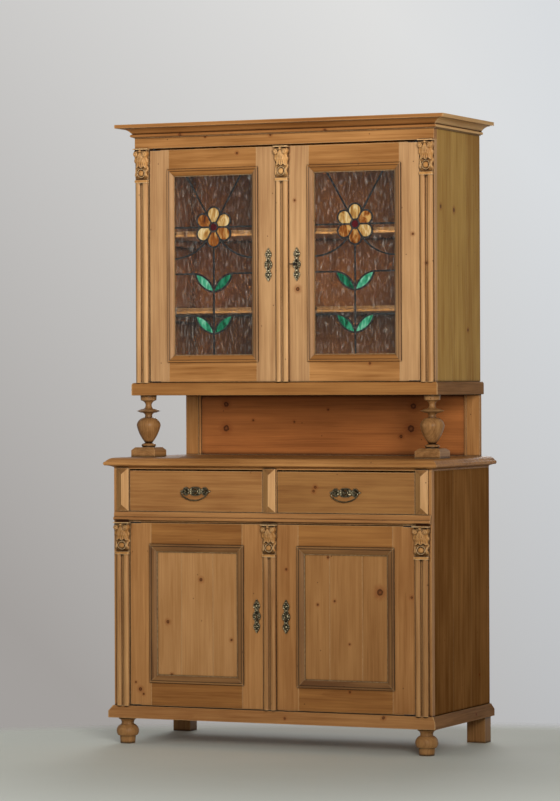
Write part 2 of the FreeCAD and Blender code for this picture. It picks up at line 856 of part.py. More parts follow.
def pivot_plate(pair, z0, z1):
    half = pivot_depth
    x0 = pair.outer - pivot_plate_length
    return box(x0, pair.outer, pair.pivot_y - half, pair.pivot_y + half, min(z0, z1), max(z0, z1))


def pivot_seats(pair):
    """What the carcase loses for its pivot plates and for the ends of the pins."""
    cuts = []
    for _, seat, way in pivot_levels(pair):
        far = seat + way * (pivot_plate_thickness + pivot_pin_bite + pivot_wood_clearance)
        radius = pivot_pin_radius + pivot_wood_clearance
        plate = pivot_plate(pair, seat, seat + way * pivot_plate_thickness)
        hole = rod(radius, Vector(pair.pivot_x, pair.pivot_y, seat), Vector(pair.pivot_x, pair.pivot_y, far))
        cuts += pair_of(plate) + pair_of(hole)
    return cuts


def carcase_pivot_plates():
    solids = []
    for pair in (base_doors, upper_doors):
        for _, seat, way in pivot_levels(pair):
            far = seat + way * pivot_plate_thickness
            radius = pivot_pin_radius + pivot_running_clearance
            before = Vector(pair.pivot_x, pair.pivot_y, seat - way * overrun)
            after = Vector(pair.pivot_x, pair.pivot_y, far + way * overrun)
            solids += pair_of(pivot_plate(pair, seat, far).cut(rod(radius, before, after)))
    return solids


def door_pivot_plates(pair):
    """A plate let into each end of the door, with a collar and a pin that turns in the carcase's plate."""
    solids = []
    for end, seat, way in pivot_levels(pair):
        plate = pivot_plate(pair, end, end - way * pivot_plate_thickness)
        foot = Vector(pair.pivot_x, pair.pivot_y, end - way * pivot_plate_thickness)
        tip = Vector(pair.pivot_x, pair.pivot_y, seat + way * (pivot_plate_thickness + pivot_pin_bite))
        collar_end = Vector(pair.pivot_x, pair.pivot_y, seat - way * pivot_collar_clearance)
        pin = rod(pivot_pin_radius, foot, tip)
        collar = rod(pivot_collar_radius, foot, collar_end)
        solids.append(plate.multiFuse([pin, collar]).removeSplitter().Solids[0])
    return solids


# Doors, built for the right and mirrored for the left

def door_frame(pair, meeting_edge, cuts):
    """Stiles from top to bottom and rails between them, less what is let into them."""
    y0, y1 = pair.face, pair.back
    stiles = [
        box(meeting_edge, pair.open_x0, y0, y1, pair.bottom, pair.top),
        box(pair.open_x1, pair.outer, y0, y1, pair.bottom, pair.top),
    ]
    rails = [
        box(pair.open_x0, pair.open_x1, y0, y1, pair.bottom, pair.open_z0),
        box(pair.open_x0, pair.open_x1, y0, y1, pair.open_z1, pair.top),
    ]
    plates = [
        pivot_plate(pair, pair.bottom, pair.bottom + pivot_plate_thickness),
        pivot_plate(pair, pair.top, pair.top - pivot_plate_thickness),
    ]
    return [cut_all(member, plates + cuts) for member in stiles + rails]


def front_moulding(pair, back):
    """A mitred moulding that laps onto the frame and slopes in to the panel or the glass."""
    lap, proud, width = moulding_lap, moulding_proud, pair.moulding_width
    face, flat = pair.face, moulding_flat
    steps = [
        ((0, face - flat),),
        ((lap / 2, face - proud), (lap + flat, face - proud + flat)),
        (((lap + width) / 2, (face + back) / 2 - proud), (width - flat, back - flat)),
        ((width, back - flat),),
        ((width, back),),
        ((lap, back),),
        ((lap, face),),
    ]
    return mitred_ring(
        pair.panel_x0, pair.panel_x1, pair.panel_z0, pair.panel_z1, width, face - proud, back, (0, face), steps
    )


def panel_y(pair):
    y0 = pair.face + (door_thickness - panel_thickness) / 2
    return y0, y0 + panel_thickness


def panel(pair):
    """A panel of vertical boards, tongued into the frame."""
    y0, y1 = panel_y(pair)
    x0, x1 = pair.open_x0 - panel_tongue, pair.open_x1 + panel_tongue
    z0, z1 = pair.open_z0 - panel_tongue, pair.open_z1 + panel_tongue
    return [box(a, b, y0, y1, z0, z1) for a, b in intervals(x0, x1, panel_board_count)]


def back_beads(pair, front):
    """Plain strips that hold the glass from behind."""
    y0, y1 = front, pair.back
    x0, x1, z0, z1 = pair.open_x0, pair.open_x1, pair.open_z0, pair.open_z1
    steps = [((back_bead_width, y0),), ((back_bead_width, y1),), ((0, y1),)]
    return mitred_ring(x0, x1, z0, z1, back_bead_width, y0, y1, (0, y0), steps)


def keyhole(x, z, y0, y1):
    """A round hole with a slot hanging from it."""
    half = keyhole_slot_width / 2
    return [
        rod(keyhole_radius, Vector(x, y0, z), Vector(x, y1, z)),
        box(x - half, x + half, y0, y1, z - keyhole_slot_drop, z),
    ]


def lock_edges(pair):
    return -meeting_half, pair.keyhole_x + lock_tail


def lock_case(pair):
    """A flush iron case with a channel for the bolt and a round well for the key's bit."""
    x0, x1 = lock_edges(pair)
    z = pair.keyhole
    y0, y1 = pair.lock_y, pair.back
    case = box(x0, x1, y0, y1, z - lock_half_height, z + lock_half_height)
    inner_y0, inner_y1 = y0 + lock_wall, y1 - lock_wall
    c = bolt_clearance
    channel = box(
        x0 - overrun, pair.keyhole_x + bolt_tail + c, pair.bolt_y - c, pair.bolt_y + bolt_thickness + c,
        z + bolt_low - c, z + bolt_high + c,
    )
    well_radius = key_bit_reach + lock_wall
    x = pair.keyhole_x
    well = rod(well_radius, Vector(x, inner_y0, z), Vector(x, inner_y1, z))
    tip = rod(keyhole_radius, Vector(x, y0, z), Vector(x, inner_y1 + key_end_clearance, z))
    return [cut_all(case, [channel, well, tip] + keyhole(x, z, y0 - overrun, inner_y0))]


def lock_bolt(pair):
    """A flat bolt, drawn back at rest, with a notch that the key's bit sweeps through."""
    z = pair.keyhole
    x = pair.keyhole_x
    y0, y1 = pair.bolt_y, pair.bolt_y + bolt_thickness
    bar = box(-meeting_half + bolt_tip_setback, x + bolt_tail, y0, y1, z + bolt_low, z + bolt_high)
    notch = box(
        x + bolt_notch[0], x + bolt_notch[1], y0 - overrun, y1 + overrun, z, z + bolt_notch_top
    )
    return [bar.cut(notch)]


def lock_cuts(pair):
    """The lock's pocket in the back of the stile, and the keyhole through the front."""
    x0, x1 = lock_edges(pair)
    z = pair.keyhole
    pocket = box(
        x0 - overrun, x1, pair.lock_y, pair.back + overrun, z - lock_half_height, z + lock_half_height
    )
    return [pocket] + keyhole(pair.keyhole_x, z, pair.face - overrun, pair.back)


def mortise_box(pair):
    """The space in the left door's edge that the bolt is thrown into, on the mirrored side."""
    depth = bolt_throw - meeting_gap - bolt_tip_setback + mortise_clearance
    c = mortise_clearance
    z = pair.keyhole
    return (
        left_meeting_edge, left_meeting_edge + depth, pair.bolt_y - c, pair.bolt_y + bolt_thickness + c,
        z + bolt_low - c, z + bolt_high + c,
    )


def button_places(pair):
    x = (pair.panel_x0 + pair.panel_x1) / 2
    return x, pair.top - button_drop


def button_hole(pair):
    x, z = button_places(pair)
    radius = button_screw_radius + pivot_running_clearance
    depth = button_screw_bite + button_gap
    return rod(radius, Vector(x, pair.back - depth, z), Vector(x, pair.back + overrun, z))


def turn_button(pair):
    """A wooden catch on one screw, lying level at rest, that turns up behind the rail."""
    x, z = button_places(pair)
    y0 = pair.back + button_gap
    y1 = y0 + button_thickness
    half = button_length / 2
    round_end = button_width / 2
    flat = half - round_end
    steps = [
        ((flat, -round_end),),
        ((half, 0), (flat, round_end)),
        ((-flat, round_end),),
        ((-half, 0), (-flat, -round_end)),
    ]
    bar = outline((-flat, -round_end), steps, lambda a, b: Vector(x + a, y0, z + b))
    bar = bar.extrude(Vector(0, button_thickness, 0))
    shank = rod(button_screw_radius, Vector(x, y0 - button_screw_bite, z), Vector(x, y1, z))
    head = rod(button_head_radius, Vector(x, y1, z), Vector(x, y1 + button_head_height, z))
    screw = shank.fuse(head).removeSplitter().Solids[0]
    return [mirrored(bar.cut(shank)), mirrored(screw)]


# Leaded glass, drawn about the middle of a pane and raised to three layers

def pane(pair):
    c = pane_clearance
    return pair.open_x0 + c, pair.open_x1 - c, pair.open_z0 + c, pair.open_z1 - c


def lead_lines(pair):
    """The centre lines of the cames: straight ones as two points, arcs as three."""
    x0, x1, z0, z1 = pane(pair)
    cx = (x0 + x1) / 2
    cz = z0 + (z1 - z0) * rosette_height_share

    def polar(radius, degrees):
        angle = math.radians(degrees)
        return cx + radius * math.cos(angle), cz + radius * math.sin(angle)

    def sagging(a, b):
        length = math.dist(a, b)
        across, down = (b[1] - a[1]) / length * garland_sag, (a[0] - b[0]) / length * garland_sag
        return (a[0] + b[0]) / 2 + across, (a[1] + b[1]) / 2 + down

    step = 360 / petal_count
    first = 90 - step / 2
    lines = []
    for k in range(petal_count):
        valley = first + k * step
        r = petal_valley_radius
        lines.append((polar(rosette_heart_radius, valley), polar(r, valley)))
        lines.append((polar(r, valley), polar(petal_tip_radius, valley + step / 2), polar(r, valley + step)))
    right, upper, lower = polar(petal_valley_radius, 0), polar(petal_valley_radius, step), polar(
        petal_valley_radius, -step
    )
    rays = [
        (right, (x1, cz)),
        (upper, (upper[0] + (z1 - upper[1]) / math.tan(math.radians(step)), z1)),
        (lower, sagging(lower, (x1, lower[1] - garland_drop)), (x1, lower[1] - garland_drop)),
    ]
    angle = math.radians(leaf_angle)
    for share in leaf_height_shares:
        base = (cx, z0 + (z1 - z0) * share)
        tip = (base[0] + leaf_length * math.cos(angle), base[1] + leaf_length * math.sin(angle))
        middle = ((base[0] + tip[0]) / 2, (base[1] + tip[1]) / 2)
        for way in (-1, 1):
            bulge = way * leaf_bulge
            crown = (middle[0] - bulge * math.sin(angle), middle[1] + bulge * math.cos(angle))
            rays.append((base, crown, tip))
        rays.append((tip, (x1, tip[1])))
    for ray in rays:
        lines.append(ray)
        lines.append(tuple((2 * cx - x, z) for x, z in ray))
    lines.append(((cx, z0), polar(petal_tip_radius, -90)))
    return lines, (cx, cz)


def came_strip(line, width, y0, y1):
    """One came, as wide as it is given and round at its ends, between two depths."""
    run = Vector(0, y1 - y0, 0)
    half = width / 2
    ends = [rod(half, Vector(x, y0, z), Vector(x, y1, z)) for x, z in (line[0], line[-1])]
    if len(line) == 2:
        (xa, za), (xb, zb) = line
        length = math.dist(line[0], line[1])
        nx, nz = -(zb - za) / length * half, (xb - xa) / length * half
        corners = [(xa + nx, za + nz), (xb + nx, zb + nz), (xb - nx, zb - nz), (xa - nx, za - nz)]
        return [prism([Vector(x, y0, z) for x, z in corners], run)] + ends
    circle = Part.Arc(*[Vector(x, y0, z) for x, z in line]).toShape().Curve
    centre, radius = circle.Center, circle.Radius

    def offset(point, shift):
        out = Vector(point[0], y0, point[1]) - centre
        return centre + out * ((radius + shift) / radius)

    outer = Part.Arc(*[offset(p, half) for p in line]).toShape()
    inner = Part.Arc(*[offset(p, -half) for p in reversed(line)]).toShape()
    a, b = offset(line[-1], half), offset(line[-1], -half)
    c, d = offset(line[0], -half), offset(line[0], half)
    wire = Part.Wire([outer, Part.LineSegment(a, b).toShape(), inner, Part.LineSegment(c, d).toShape()])
    return [Part.Face(wire).extrude(run)] + ends


def lead_layer(pair, width, y0, y1):
    """All the cames of a pane with its border and the rosette's ring, joined between two depths."""
    x0, x1, z0, z1 = pane(pair)
    lines, (cx, cz) = lead_lines(pair)
    half = width / 2
    blank = box(x0, x1, y0, y1, z0, z1)
    border = blank.cut(box(x0 + half, x1 - half, y0, y1, z0 + half, z1 - half))
    axis = Vector(cx, y0, cz), Vector(cx, y1, cz)
    ring = rod(rosette_heart_radius + half, *axis).cut(rod(rosette_heart_radius - half, *axis))
    strips = [s for line in lines for s in came_strip(line, width, y0, y1)]
    return border.multiFuse([ring] + strips).common(blank).removeSplitter()


def leaded_pane(pair):
    """Glass pieces and the one lead net that holds them."""
    x0, x1, z0, z1 = pane(pair)
    y0 = pair.face + bead_depth
    y1 = y0 + lead_flange_thickness
    y2 = y1 + glass_thickness
    y3 = y2 + lead_flange_thickness
    heart = lead_layer(pair, lead_heart_width, y1, y2)
    pieces = box(x0, x1, y1, y2, z0, z1).cut(heart).Solids
    layers = [lead_layer(pair, lead_flange_width, y0, y1), lead_layer(pair, lead_flange_width, y2, y3)]
    net = heart.multiFuse(layers).removeSplitter().Solids
    return pieces, net, y3


# Metal plates on the doors and drawers

def escutcheon(pair, x):
    """A pierced plate with pointed finials, side lobes and a ring boss round the keyhole."""
    h, w = escutcheon_height / 2, escutcheon_width / 2
    tip, swell, neck = [(a * w, b * h) for a, b in escutcheon_finial_shares]
    lobe, dip = [(a * w, b * h) for a, b in escutcheon_lobe_shares]
    ear, waist, flare, side = [(a * w, b * h) for a, b in escutcheon_side_shares]
    quarter = [(swell, neck), (lobe, dip), (ear, waist), (flare,), (side,)]
    steps = quarter_to_whole(tip, quarter, side)
    y1 = pair.face
    y0 = y1 - escutcheon_thickness
    z = pair.keyhole
    plate = outline(tip, steps, lambda a, b: Vector(x + a, y0, z + b)).extrude(Vector(0, y1 - y0, 0))
    boss = rod(escutcheon_boss_radius, Vector(x, y0 - escutcheon_boss_height, z), Vector(x, y0, z))
    dish = rod(escutcheon_boss_radius / 2, Vector(x, y0 - escutcheon_boss_height, z), Vector(x, y0, z))
    plate = plate.fuse(boss.cut(dish)).removeSplitter().Solids[0]
    return [cut_all(plate, keyhole(x, z, y0 - overrun, y1))]


def quarter_to_whole(start, quarter, end):
    """Mirrors a quarter outline, from the top to the right side, into the other three."""
    points = [start]
    for step in quarter:
        points.append(step[-1])
    back_steps = []
    for index in range(len(quarter) - 1, -1, -1):
        middle = quarter[index][:-1]
        back_steps.append(middle + (points[index],))
    down = [tuple((x, -z) for x, z in step) for step in back_steps]
    left_up = [tuple((-x, -z) for x, z in step) for step in quarter]
    left_top = [tuple((-x, z) for x, z in step) for step in back_steps]
    return list(quarter) + down + left_up + left_top


def pull_plate():
    """A pointed plate with a middle boss and two eyes for the bail."""
    w, h = pull_plate_length / 2, pull_plate_height / 2
    point, flank = [(a * w, b * h) for a, b in pull_point_shares]
    lobe, dip = [(a * w, b * h) for a, b in pull_lobe_shares]
    corner, crown, top = [(a * w, b * h) for a, b in pull_middle_shares]
    quarter = [(crown, corner), (dip,), (lobe, flank), (point,)]
    steps = quarter_to_whole(top, quarter, point)
    y1 = drawer_face_y
    y0 = y1 - pull_plate_thickness
    x, z = pull_x, pull_z
    plate = outline(top, steps, lambda a, b: Vector(x + a, y0, z + b)).extrude(Vector(0, y1 - y0, 0))
    foot = Vector(x, y0, z)
    boss = Part.makeCone(pull_boss_radius, pull_boss_radius / 2, pull_boss_height, foot, Vector(0, -1, 0))
    eyes = []
    holes = []
    axis_y = drawer_face_y - bail_axis_proud
    for way in (-1, 1):
        ex = x + way * bail_post_spread
        eyes.append(rod(bail_post_radius, Vector(ex, axis_y - bail_post_radius, z), Vector(ex, y0, z)))
        ends = [Vector(ex + s * bail_post_radius * 2, axis_y, z) for s in (-1, 1)]
        holes.append(rod(bail_radius + bail_clearance, *ends))
    plate = plate.multiFuse([boss] + eyes).removeSplitter().Solids[0]
    return cut_all(plate, holes)


def bail():
    """A drop handle: two pins in the eyes, and a flat three-centred arch hanging between them."""
    x, y, z = pull_x, drawer_face_y - bail_axis_proud, pull_z
    pin_in = bail_post_spread - bail_pin_inside
    pin_out = bail_post_spread + bail_pin_outside
    r0, r1 = bail_corner_radius, bail_shoulder_radius
    half = pin_out + r0
    drop = bail_drop - r0
    dx = half - r1
    r2 = (dx * dx + drop * drop - r1 * r1) / (2 * (drop - r1))
    shoulder = (half - r1, -r0)
    centre = (0, -bail_drop + r2)
    length = math.dist(shoulder, centre)
    ux, uz = (shoulder[0] - centre[0]) / length, (shoulder[1] - centre[1]) / length
    join = (shoulder[0] + ux * r1, shoulder[1] + uz * r1)
    turn = math.atan2(uz, ux)
    k = math.sqrt(1 / 2)
    corner_mid = (pin_out + r0 * k, -r0 + r0 * k)
    shoulder_mid = (shoulder[0] + r1 * math.cos(turn / 2), shoulder[1] + r1 * math.sin(turn / 2))

    def at(point, way=1):
        return Vector(x + way * point[0], y, z + point[1])

    edges = [
        Part.LineSegment(at((pin_in, 0), -1), at((pin_out, 0), -1)).toShape(),
        Part.Arc(at((pin_out, 0), -1), at(corner_mid, -1), at((half, -r0), -1)).toShape(),
        Part.Arc(at((half, -r0), -1), at(shoulder_mid, -1), at(join, -1)).toShape(),
        Part.Arc(at(join, -1), at((0, -bail_drop)), at(join)).toShape(),
        Part.Arc(at(join), at(shoulder_mid), at((half, -r0))).toShape(),
        Part.Arc(at((half, -r0)), at(corner_mid), at((pin_out, 0))).toShape(),
        Part.LineSegment(at((pin_out, 0)), at((pin_in, 0))).toShape(),
    ]
    path = Part.Wire(edges)
    circle = Part.Wire(Part.makeCircle(bail_radius, at((pin_in, 0), -1), Vector(1, 0, 0)))
    return path.makePipeShell([circle], True, False)


def key():
    """A key in the upper lock: a flat bow, a collar, a round shaft and one bit, turned level."""
    x, z = upper_doors.keyhole_x, upper_doors.keyhole
    face = upper_doors.face
    end = upper_doors.back - lock_wall
    bow_y = face - key_reach + key_bow_length / 2
    start = bow_y + (key_bow_length - key_bow_rim) / 2
    shaft = rod(key_shaft_radius, Vector(x, start, z), Vector(x, end, z))
    half = key_bow_thickness / 2
    low = z - half
    a, b = key_bow_width / 2, key_bow_length / 2
    bow = oval_ring(x, bow_y, low, a, b, 2 * half)
    collar_y = bow_y + b
    collar = rod(key_collar_radius, Vector(x, collar_y, z), Vector(x, collar_y + key_collar_length, z))
    bit_y = (upper_doors.lock_y + upper_doors.back) / 2 - key_bit_width / 2
    t = key_bit_thickness / 2
    bit = box(x, x + key_bit_reach, bit_y, bit_y + key_bit_width, z - t, z + t)
    return [shaft.multiFuse([bow, collar, bit]).removeSplitter().Solids[0]]


def oval_ring(x, y, z, a, b, height):
    """A flat ring between two ellipses, longer along X."""
    rings = []
    for shrink in (0, key_bow_rim):
        major, minor = a - shrink, b - shrink
        ellipse = Part.Ellipse(Vector(x, y, z), major, minor)
        rings.append(Part.Face(Part.Wire(ellipse.toShape())).extrude(Vector(0, 0, height)))
    return rings[0].cut(rings[1])


# Drawers

def drawer_front():
    y0 = drawer_face_y
    return box(drawer_inner_x, drawer_outer_x, y0, y0 + drawer_front_thickness, drawer_bottom, drawer_top)


def drawer_box():
    """Two sides, a back and a bottom behind the front."""
    x0, x1 = drawer_inner_x + drawer_box_setback, drawer_outer_x - drawer_box_setback
    y0 = drawer_face_y + drawer_front_thickness
    y1 = y0 + drawer_box_length
    t = drawer_side_thickness
    z0, z1 = drawer_bottom, drawer_top - drawer_side_drop
    floor = z0 + drawer_bottom_rise
    return [
        box(x0, x0 + t, y0, y1, z0, z1),
        box(x1 - t, x1, y0, y1, z0, z1),
        box(x0 + t, x1 - t, y1 - t, y1, z0, z1),
        box(x0 + t, x1 - t, y0, y1 - t, floor, floor + drawer_bottom_thickness),
    ]


def main():
    os.makedirs("parts", exist_ok=True)
    write("base_sides", base_sides())
    write("base_back_boards", base_back_boards())
    write("base_front_frame", base_front_frame())
    write("base_floor", base_floor())
    write("runners_and_battens", runners_and_battens())
    write("shelves", shelves())
    write("worktop", worktop())
    write("base_mouldings", base_mouldings())
    write("lozenge_blocks", lozenge_blocks())
    write("feet", feet())
    write("columns", columns())
    write("niche_back", niche_back())
    write("upper_base", upper_base())
    write("upper_sides", upper_sides())
    write("upper_back_boards", upper_back_boards())
    write("upper_front_frame", upper_front_frame())
    write("upper_top_board", upper_top_board())
    write("cornice", cornice())
    pilasters, corbels = corner_pilasters_and_corbels()
    write("corner_pilasters", pilasters)
    write("corner_corbels", corbels)
    write("carcase_pivot_plates", carcase_pivot_plates())

    for side, place in (("left", mirrored), ("right", lambda shape: shape)):
        write(f"{side}_drawer_front", [place(drawer_front())])
        write(f"{side}_drawer_box", [place(solid) for solid in drawer_box()])
        write(f"{side}_pull_plate", [place(pull_plate())])
        write(f"{side}_bail", [place(bail())])

    base_groove_y = panel_y(base_doors)
    t = panel_tongue
    groove = box(
        base_doors.open_x0 - t, base_doors.open_x1 + t, *base_groove_y,
        base_doors.open_z0 - t, base_doors.open_z1 + t,
    )
    doors = (("upper", upper_doors, []), ("lower", base_doors, [groove]))
    for level, pair, cuts in doors:
        left_cuts = cuts + [box(*mortise_box(pair)), button_hole(pair)]
        right_cuts = cuts + lock_cuts(pair)
        left_frame = door_frame(pair, left_meeting_edge, left_cuts)
        right_frame = door_frame(pair, -meeting_half, right_cuts)
        write(f"{level}_left_door_frame", [mirrored(solid) for solid in left_frame])
        write(f"{level}_right_door_frame", right_frame)
        write(f"{level}_right_centre_pilaster", centre_pilaster(pair))
        write(f"{level}_right_lock_case", lock_case(pair))
        write(f"{level}_right_lock_bolt", lock_bolt(pair))
        write(f"{level}_left_turn_button", turn_button(pair))

    front = front_moulding(base_doors, base_groove_y[0])
    pieces, net, net_back = leaded_pane(upper_doors)
    beads = front_moulding(upper_doors, upper_doors.face + bead_depth) + back_beads(upper_doors, net_back)
    for side, place in (("left", mirrored), ("right", lambda shape: shape)):
        write(f"lower_{side}_panel_moulding", [place(solid) for solid in front])
        write(f"lower_{side}_panel", [place(solid) for solid in panel(base_doors)])
        write(f"upper_{side}_glazing_beads", [place(solid) for solid in beads])
        write(f"upper_{side}_glass", [place(solid) for solid in pieces])
        write(f"upper_{side}_lead_cames", [place(solid) for solid in net])
        for level, pair, _ in doors:
            x = pair.keyhole_x if side == "right" else pair.dummy_x
            write(f"{level}_{side}_escutcheon", [place(solid) for solid in escutcheon(pair, x)])
            write(f"{level}_{side}_pivot_plates", [place(solid) for solid in door_pivot_plates(pair)])
    write("upper_right_key", key())


main()
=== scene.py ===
# %% [markdown]
# # A pine kitchen cupboard in two halves
# The cupboard was built in CAD as separate boards, mouldings, turnings and fittings, and packed as a fixed
# frame. This script dresses that frame. It could model everything again from nothing, but then the doors
# would no longer fit their openings. So each wooden piece starts from its CAD solid and gets what CAD leaves
# out: rounded arrises, carving, grain, knots, wax and wear.

# %% Load the frame
import json
import math
import random

import bmesh
import bpy
from mathutils import Matrix, Vector

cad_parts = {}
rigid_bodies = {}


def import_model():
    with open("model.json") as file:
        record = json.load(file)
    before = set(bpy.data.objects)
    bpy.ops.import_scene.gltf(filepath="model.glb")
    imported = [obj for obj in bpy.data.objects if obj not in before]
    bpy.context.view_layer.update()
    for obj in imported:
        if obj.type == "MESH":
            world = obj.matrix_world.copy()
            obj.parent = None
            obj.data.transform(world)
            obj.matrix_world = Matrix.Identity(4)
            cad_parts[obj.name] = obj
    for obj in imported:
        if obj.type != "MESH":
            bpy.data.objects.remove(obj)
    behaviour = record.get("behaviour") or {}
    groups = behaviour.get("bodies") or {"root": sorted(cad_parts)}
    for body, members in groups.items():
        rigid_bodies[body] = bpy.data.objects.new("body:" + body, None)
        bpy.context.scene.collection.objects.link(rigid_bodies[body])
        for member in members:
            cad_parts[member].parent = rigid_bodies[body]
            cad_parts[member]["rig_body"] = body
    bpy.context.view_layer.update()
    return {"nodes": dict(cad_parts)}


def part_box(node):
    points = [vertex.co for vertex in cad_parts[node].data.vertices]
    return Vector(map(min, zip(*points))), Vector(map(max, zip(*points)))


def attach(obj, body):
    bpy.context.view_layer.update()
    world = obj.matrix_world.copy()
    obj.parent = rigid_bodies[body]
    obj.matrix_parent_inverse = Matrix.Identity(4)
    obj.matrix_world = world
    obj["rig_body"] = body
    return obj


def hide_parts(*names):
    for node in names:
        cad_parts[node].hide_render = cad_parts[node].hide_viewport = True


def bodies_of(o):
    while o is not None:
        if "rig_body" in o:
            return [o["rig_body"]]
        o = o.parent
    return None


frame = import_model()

MM = 0.001
scene = bpy.context.scene

# %% [markdown]
# ## Camera
# The photograph was taken from a little to the right of the cupboard's front, at about the height of its
# niche, with a long lens: the uprights stay parallel. The numbers below came from fitting the known edges of
# the cupboard to where they show in the picture. A shift keeps the uprights parallel, where tilting the
# camera would not.

# %% Camera
PICTURE_WIDTH, PICTURE_HEIGHT = 560, 801
FOCAL_PIXELS = 3484
CENTRE_X, CENTRE_Y = 299.69, 378.58
SENSOR_WIDTH = 36.0
AZIMUTH, ROLL, PITCH = (math.radians(a) for a in (23.913, -0.2136, 0.086))
DISTANCE, EYE_HEIGHT, AIM_Y = 11.8026, 1.21586, 0.001
FARTHEST_SEEN = 100.0

ahead = Vector((-math.sin(AZIMUTH) * math.cos(PITCH), math.cos(AZIMUTH) * math.cos(PITCH), math.sin(PITCH)))
level = Vector((math.cos(AZIMUTH), math.sin(AZIMUTH), 0))
upright = level.cross(ahead)
to_right = level * math.cos(ROLL) + upright * math.sin(ROLL)
to_top = upright * math.cos(ROLL) - level * math.sin(ROLL)

camera = bpy.data.objects.new("camera", bpy.data.cameras.new("camera"))
scene.collection.objects.link(camera)
turn = Matrix((to_right, to_top, -ahead)).transposed()
eye = Vector((math.sin(AZIMUTH) * DISTANCE, AIM_Y - math.cos(AZIMUTH) * DISTANCE, EYE_HEIGHT))
camera.matrix_world = Matrix.Translation(eye) @ turn.to_4x4()
camera.data.sensor_fit = "HORIZONTAL"
camera.data.sensor_width = SENSOR_WIDTH
camera.data.lens = FOCAL_PIXELS / PICTURE_WIDTH * SENSOR_WIDTH
camera.data.shift_x = (PICTURE_WIDTH / 2 - CENTRE_X) / PICTURE_WIDTH
camera.data.shift_y = (CENTRE_Y - PICTURE_HEIGHT / 2) / PICTURE_WIDTH
camera.data.clip_end = FARTHEST_SEEN
scene.camera = camera
print("lens", round(camera.data.lens, 1), "mm")
print("shift", round(camera.data.shift_x, 4), round(camera.data.shift_y, 4))

# %% [markdown]
# ## Helpers for materials
# Colours are picked as hex values, the way a paint chart gives them, but Cycles mixes light in linear
# numbers, so one function turns one into the other. Nodes could be placed by hand in the editor, but a script
# can be read again. The second function adds a node, sets it up and links it in one call, and hands on what
# the node gives, so that a material reads like a recipe from top to bottom.

# %% Colour and node helpers
def paint(code):
    """A linear colour from an sRGB hex value."""
    channels = [int(code[i:i + 2], 16) / 255 for i in (1, 3, 5)]
    return [c / 12.92 if c <= 0.04045 else ((c + 0.055) / 1.055) ** 2.4 for c in channels] + [1]


def add(tree, kind, inputs=(), out=0, **settings):
    """Adds a node, sets its properties, and fills or links its inputs, given in their order or by name.

    It gives back the output that out names, or all of them where out is None.
    """
    node = tree.nodes.new("ShaderNode" + kind)
    for name, value in settings.items():
        setattr(node, name, value)
    for socket, value in inputs.items() if isinstance(inputs, dict) else enumerate(inputs):
        if isinstance(value, bpy.types.NodeSocket):
            tree.links.new(value, node.inputs[socket])
        else:
            node.inputs[socket].default_value = value
    return node.outputs if out is None else node.outputs[out]


def empty_material(name):
    material = bpy.data.materials.new(name)
    material.use_nodes = True
    material.node_tree.nodes.clear()
    return material, material.node_tree


def to_object(mesh, name, material):
    """An object of the scene from a bmesh, with one material."""
    data = bpy.data.meshes.new(name)
    mesh.to_mesh(data)
    mesh.free()
    data.materials.append(material)
    made = bpy.data.objects.new(name, data)
    scene.collection.objects.link(made)
    return made


print("mid grey in linear light:", round(paint("#808080")[0], 3))

# %% [markdown]
# ## Studio
# The cupboard stands on a pale grey floor before a wall that is lighter at the top. A real wall would hide
# the back of the cupboard from behind, so here the wall is only the colour that the camera, mirrors and glass
# see in the world's background. The floor is a real disc, because it has to catch the shadow. Away from the
# cupboard the lamps fall off, so there the floor's own pale colour is shown to the same rays, and no more
# light is needed.

# %% Floor and backdrop
FLOOR_RADIUS, FLOOR_FORWARD, FLOOR_FADE, FLOOR_SIDES = 4.0, 3.2, 0.35, 180
SHADOW_REACH, PALE_FROM = 0.8, 3.0
CLOUDS_PER_METRE = 1.6
# The wall's colours change with these parts of the direction of sight: upwards, to the right and away.
WALL_RISE, COOL_SIDE, FAR_WALL = (-0.15, 0.13), (0.02, 0.08), (-0.2, 0.6)
ROOM_LIGHT = 0.2


def seen_directly(tree):
    """One for the rays by which the eye, a mirror or glass sees a thing, and nought for all others."""
    path = add(tree, "LightPath", out=None)
    direct = add(tree, "Math", [path["Is Camera Ray"], path["Is Glossy Ray"]], operation="MAXIMUM")
    return add(tree, "Math", [direct, path["Is Transmission Ray"]], operation="MAXIMUM")


def floor_paint():
    """Matt grey floor paint: it spreads light evenly and mirrors little. The disc's rim fades out."""
    material, tree = empty_material("painted_floor")
    place = add(tree, "TexCoord", out="Object")
    cloud = add(tree, "TexNoise", {"Vector": place, "Scale": CLOUDS_PER_METRE, "Detail": 3.0})
    tint = add(tree, "Mix", {0: cloud, 6: paint("#E9EDE4"), 7: paint("#DADFD4")}, out=2, data_type="RGBA")
    matt = add(tree, "BsdfPrincipled", {"Base Color": tint, "Roughness": 0.75})
    spot = add(tree, "NewGeometry", out="Position")
    away = add(tree, "VectorMath", [spot], out="Value", operation="LENGTH")
    open_floor = add(tree, "MapRange", [away, SHADOW_REACH, PALE_FROM], interpolation_type="SMOOTHSTEP")
    share = add(tree, "Math", [open_floor, seen_directly(tree)], operation="MULTIPLY")
    pale = add(tree, "Emission", {"Color": paint("#CDCEC6"), "Strength": 1.0})
    painted = add(tree, "MixShader", [share, matt, pale])
    radius = add(tree, "VectorMath", [place], out="Value", operation="LENGTH")
    rim = add(tree, "MapRange", [radius, FLOOR_RADIUS - FLOOR_FADE, FLOOR_RADIUS],
              interpolation_type="SMOOTHSTEP")
    clear = add(tree, "BsdfTransparent")
    faded = add(tree, "MixShader", [rim, painted, clear])
    add(tree, "OutputMaterial", {"Surface": faded}, out=None)
    return material


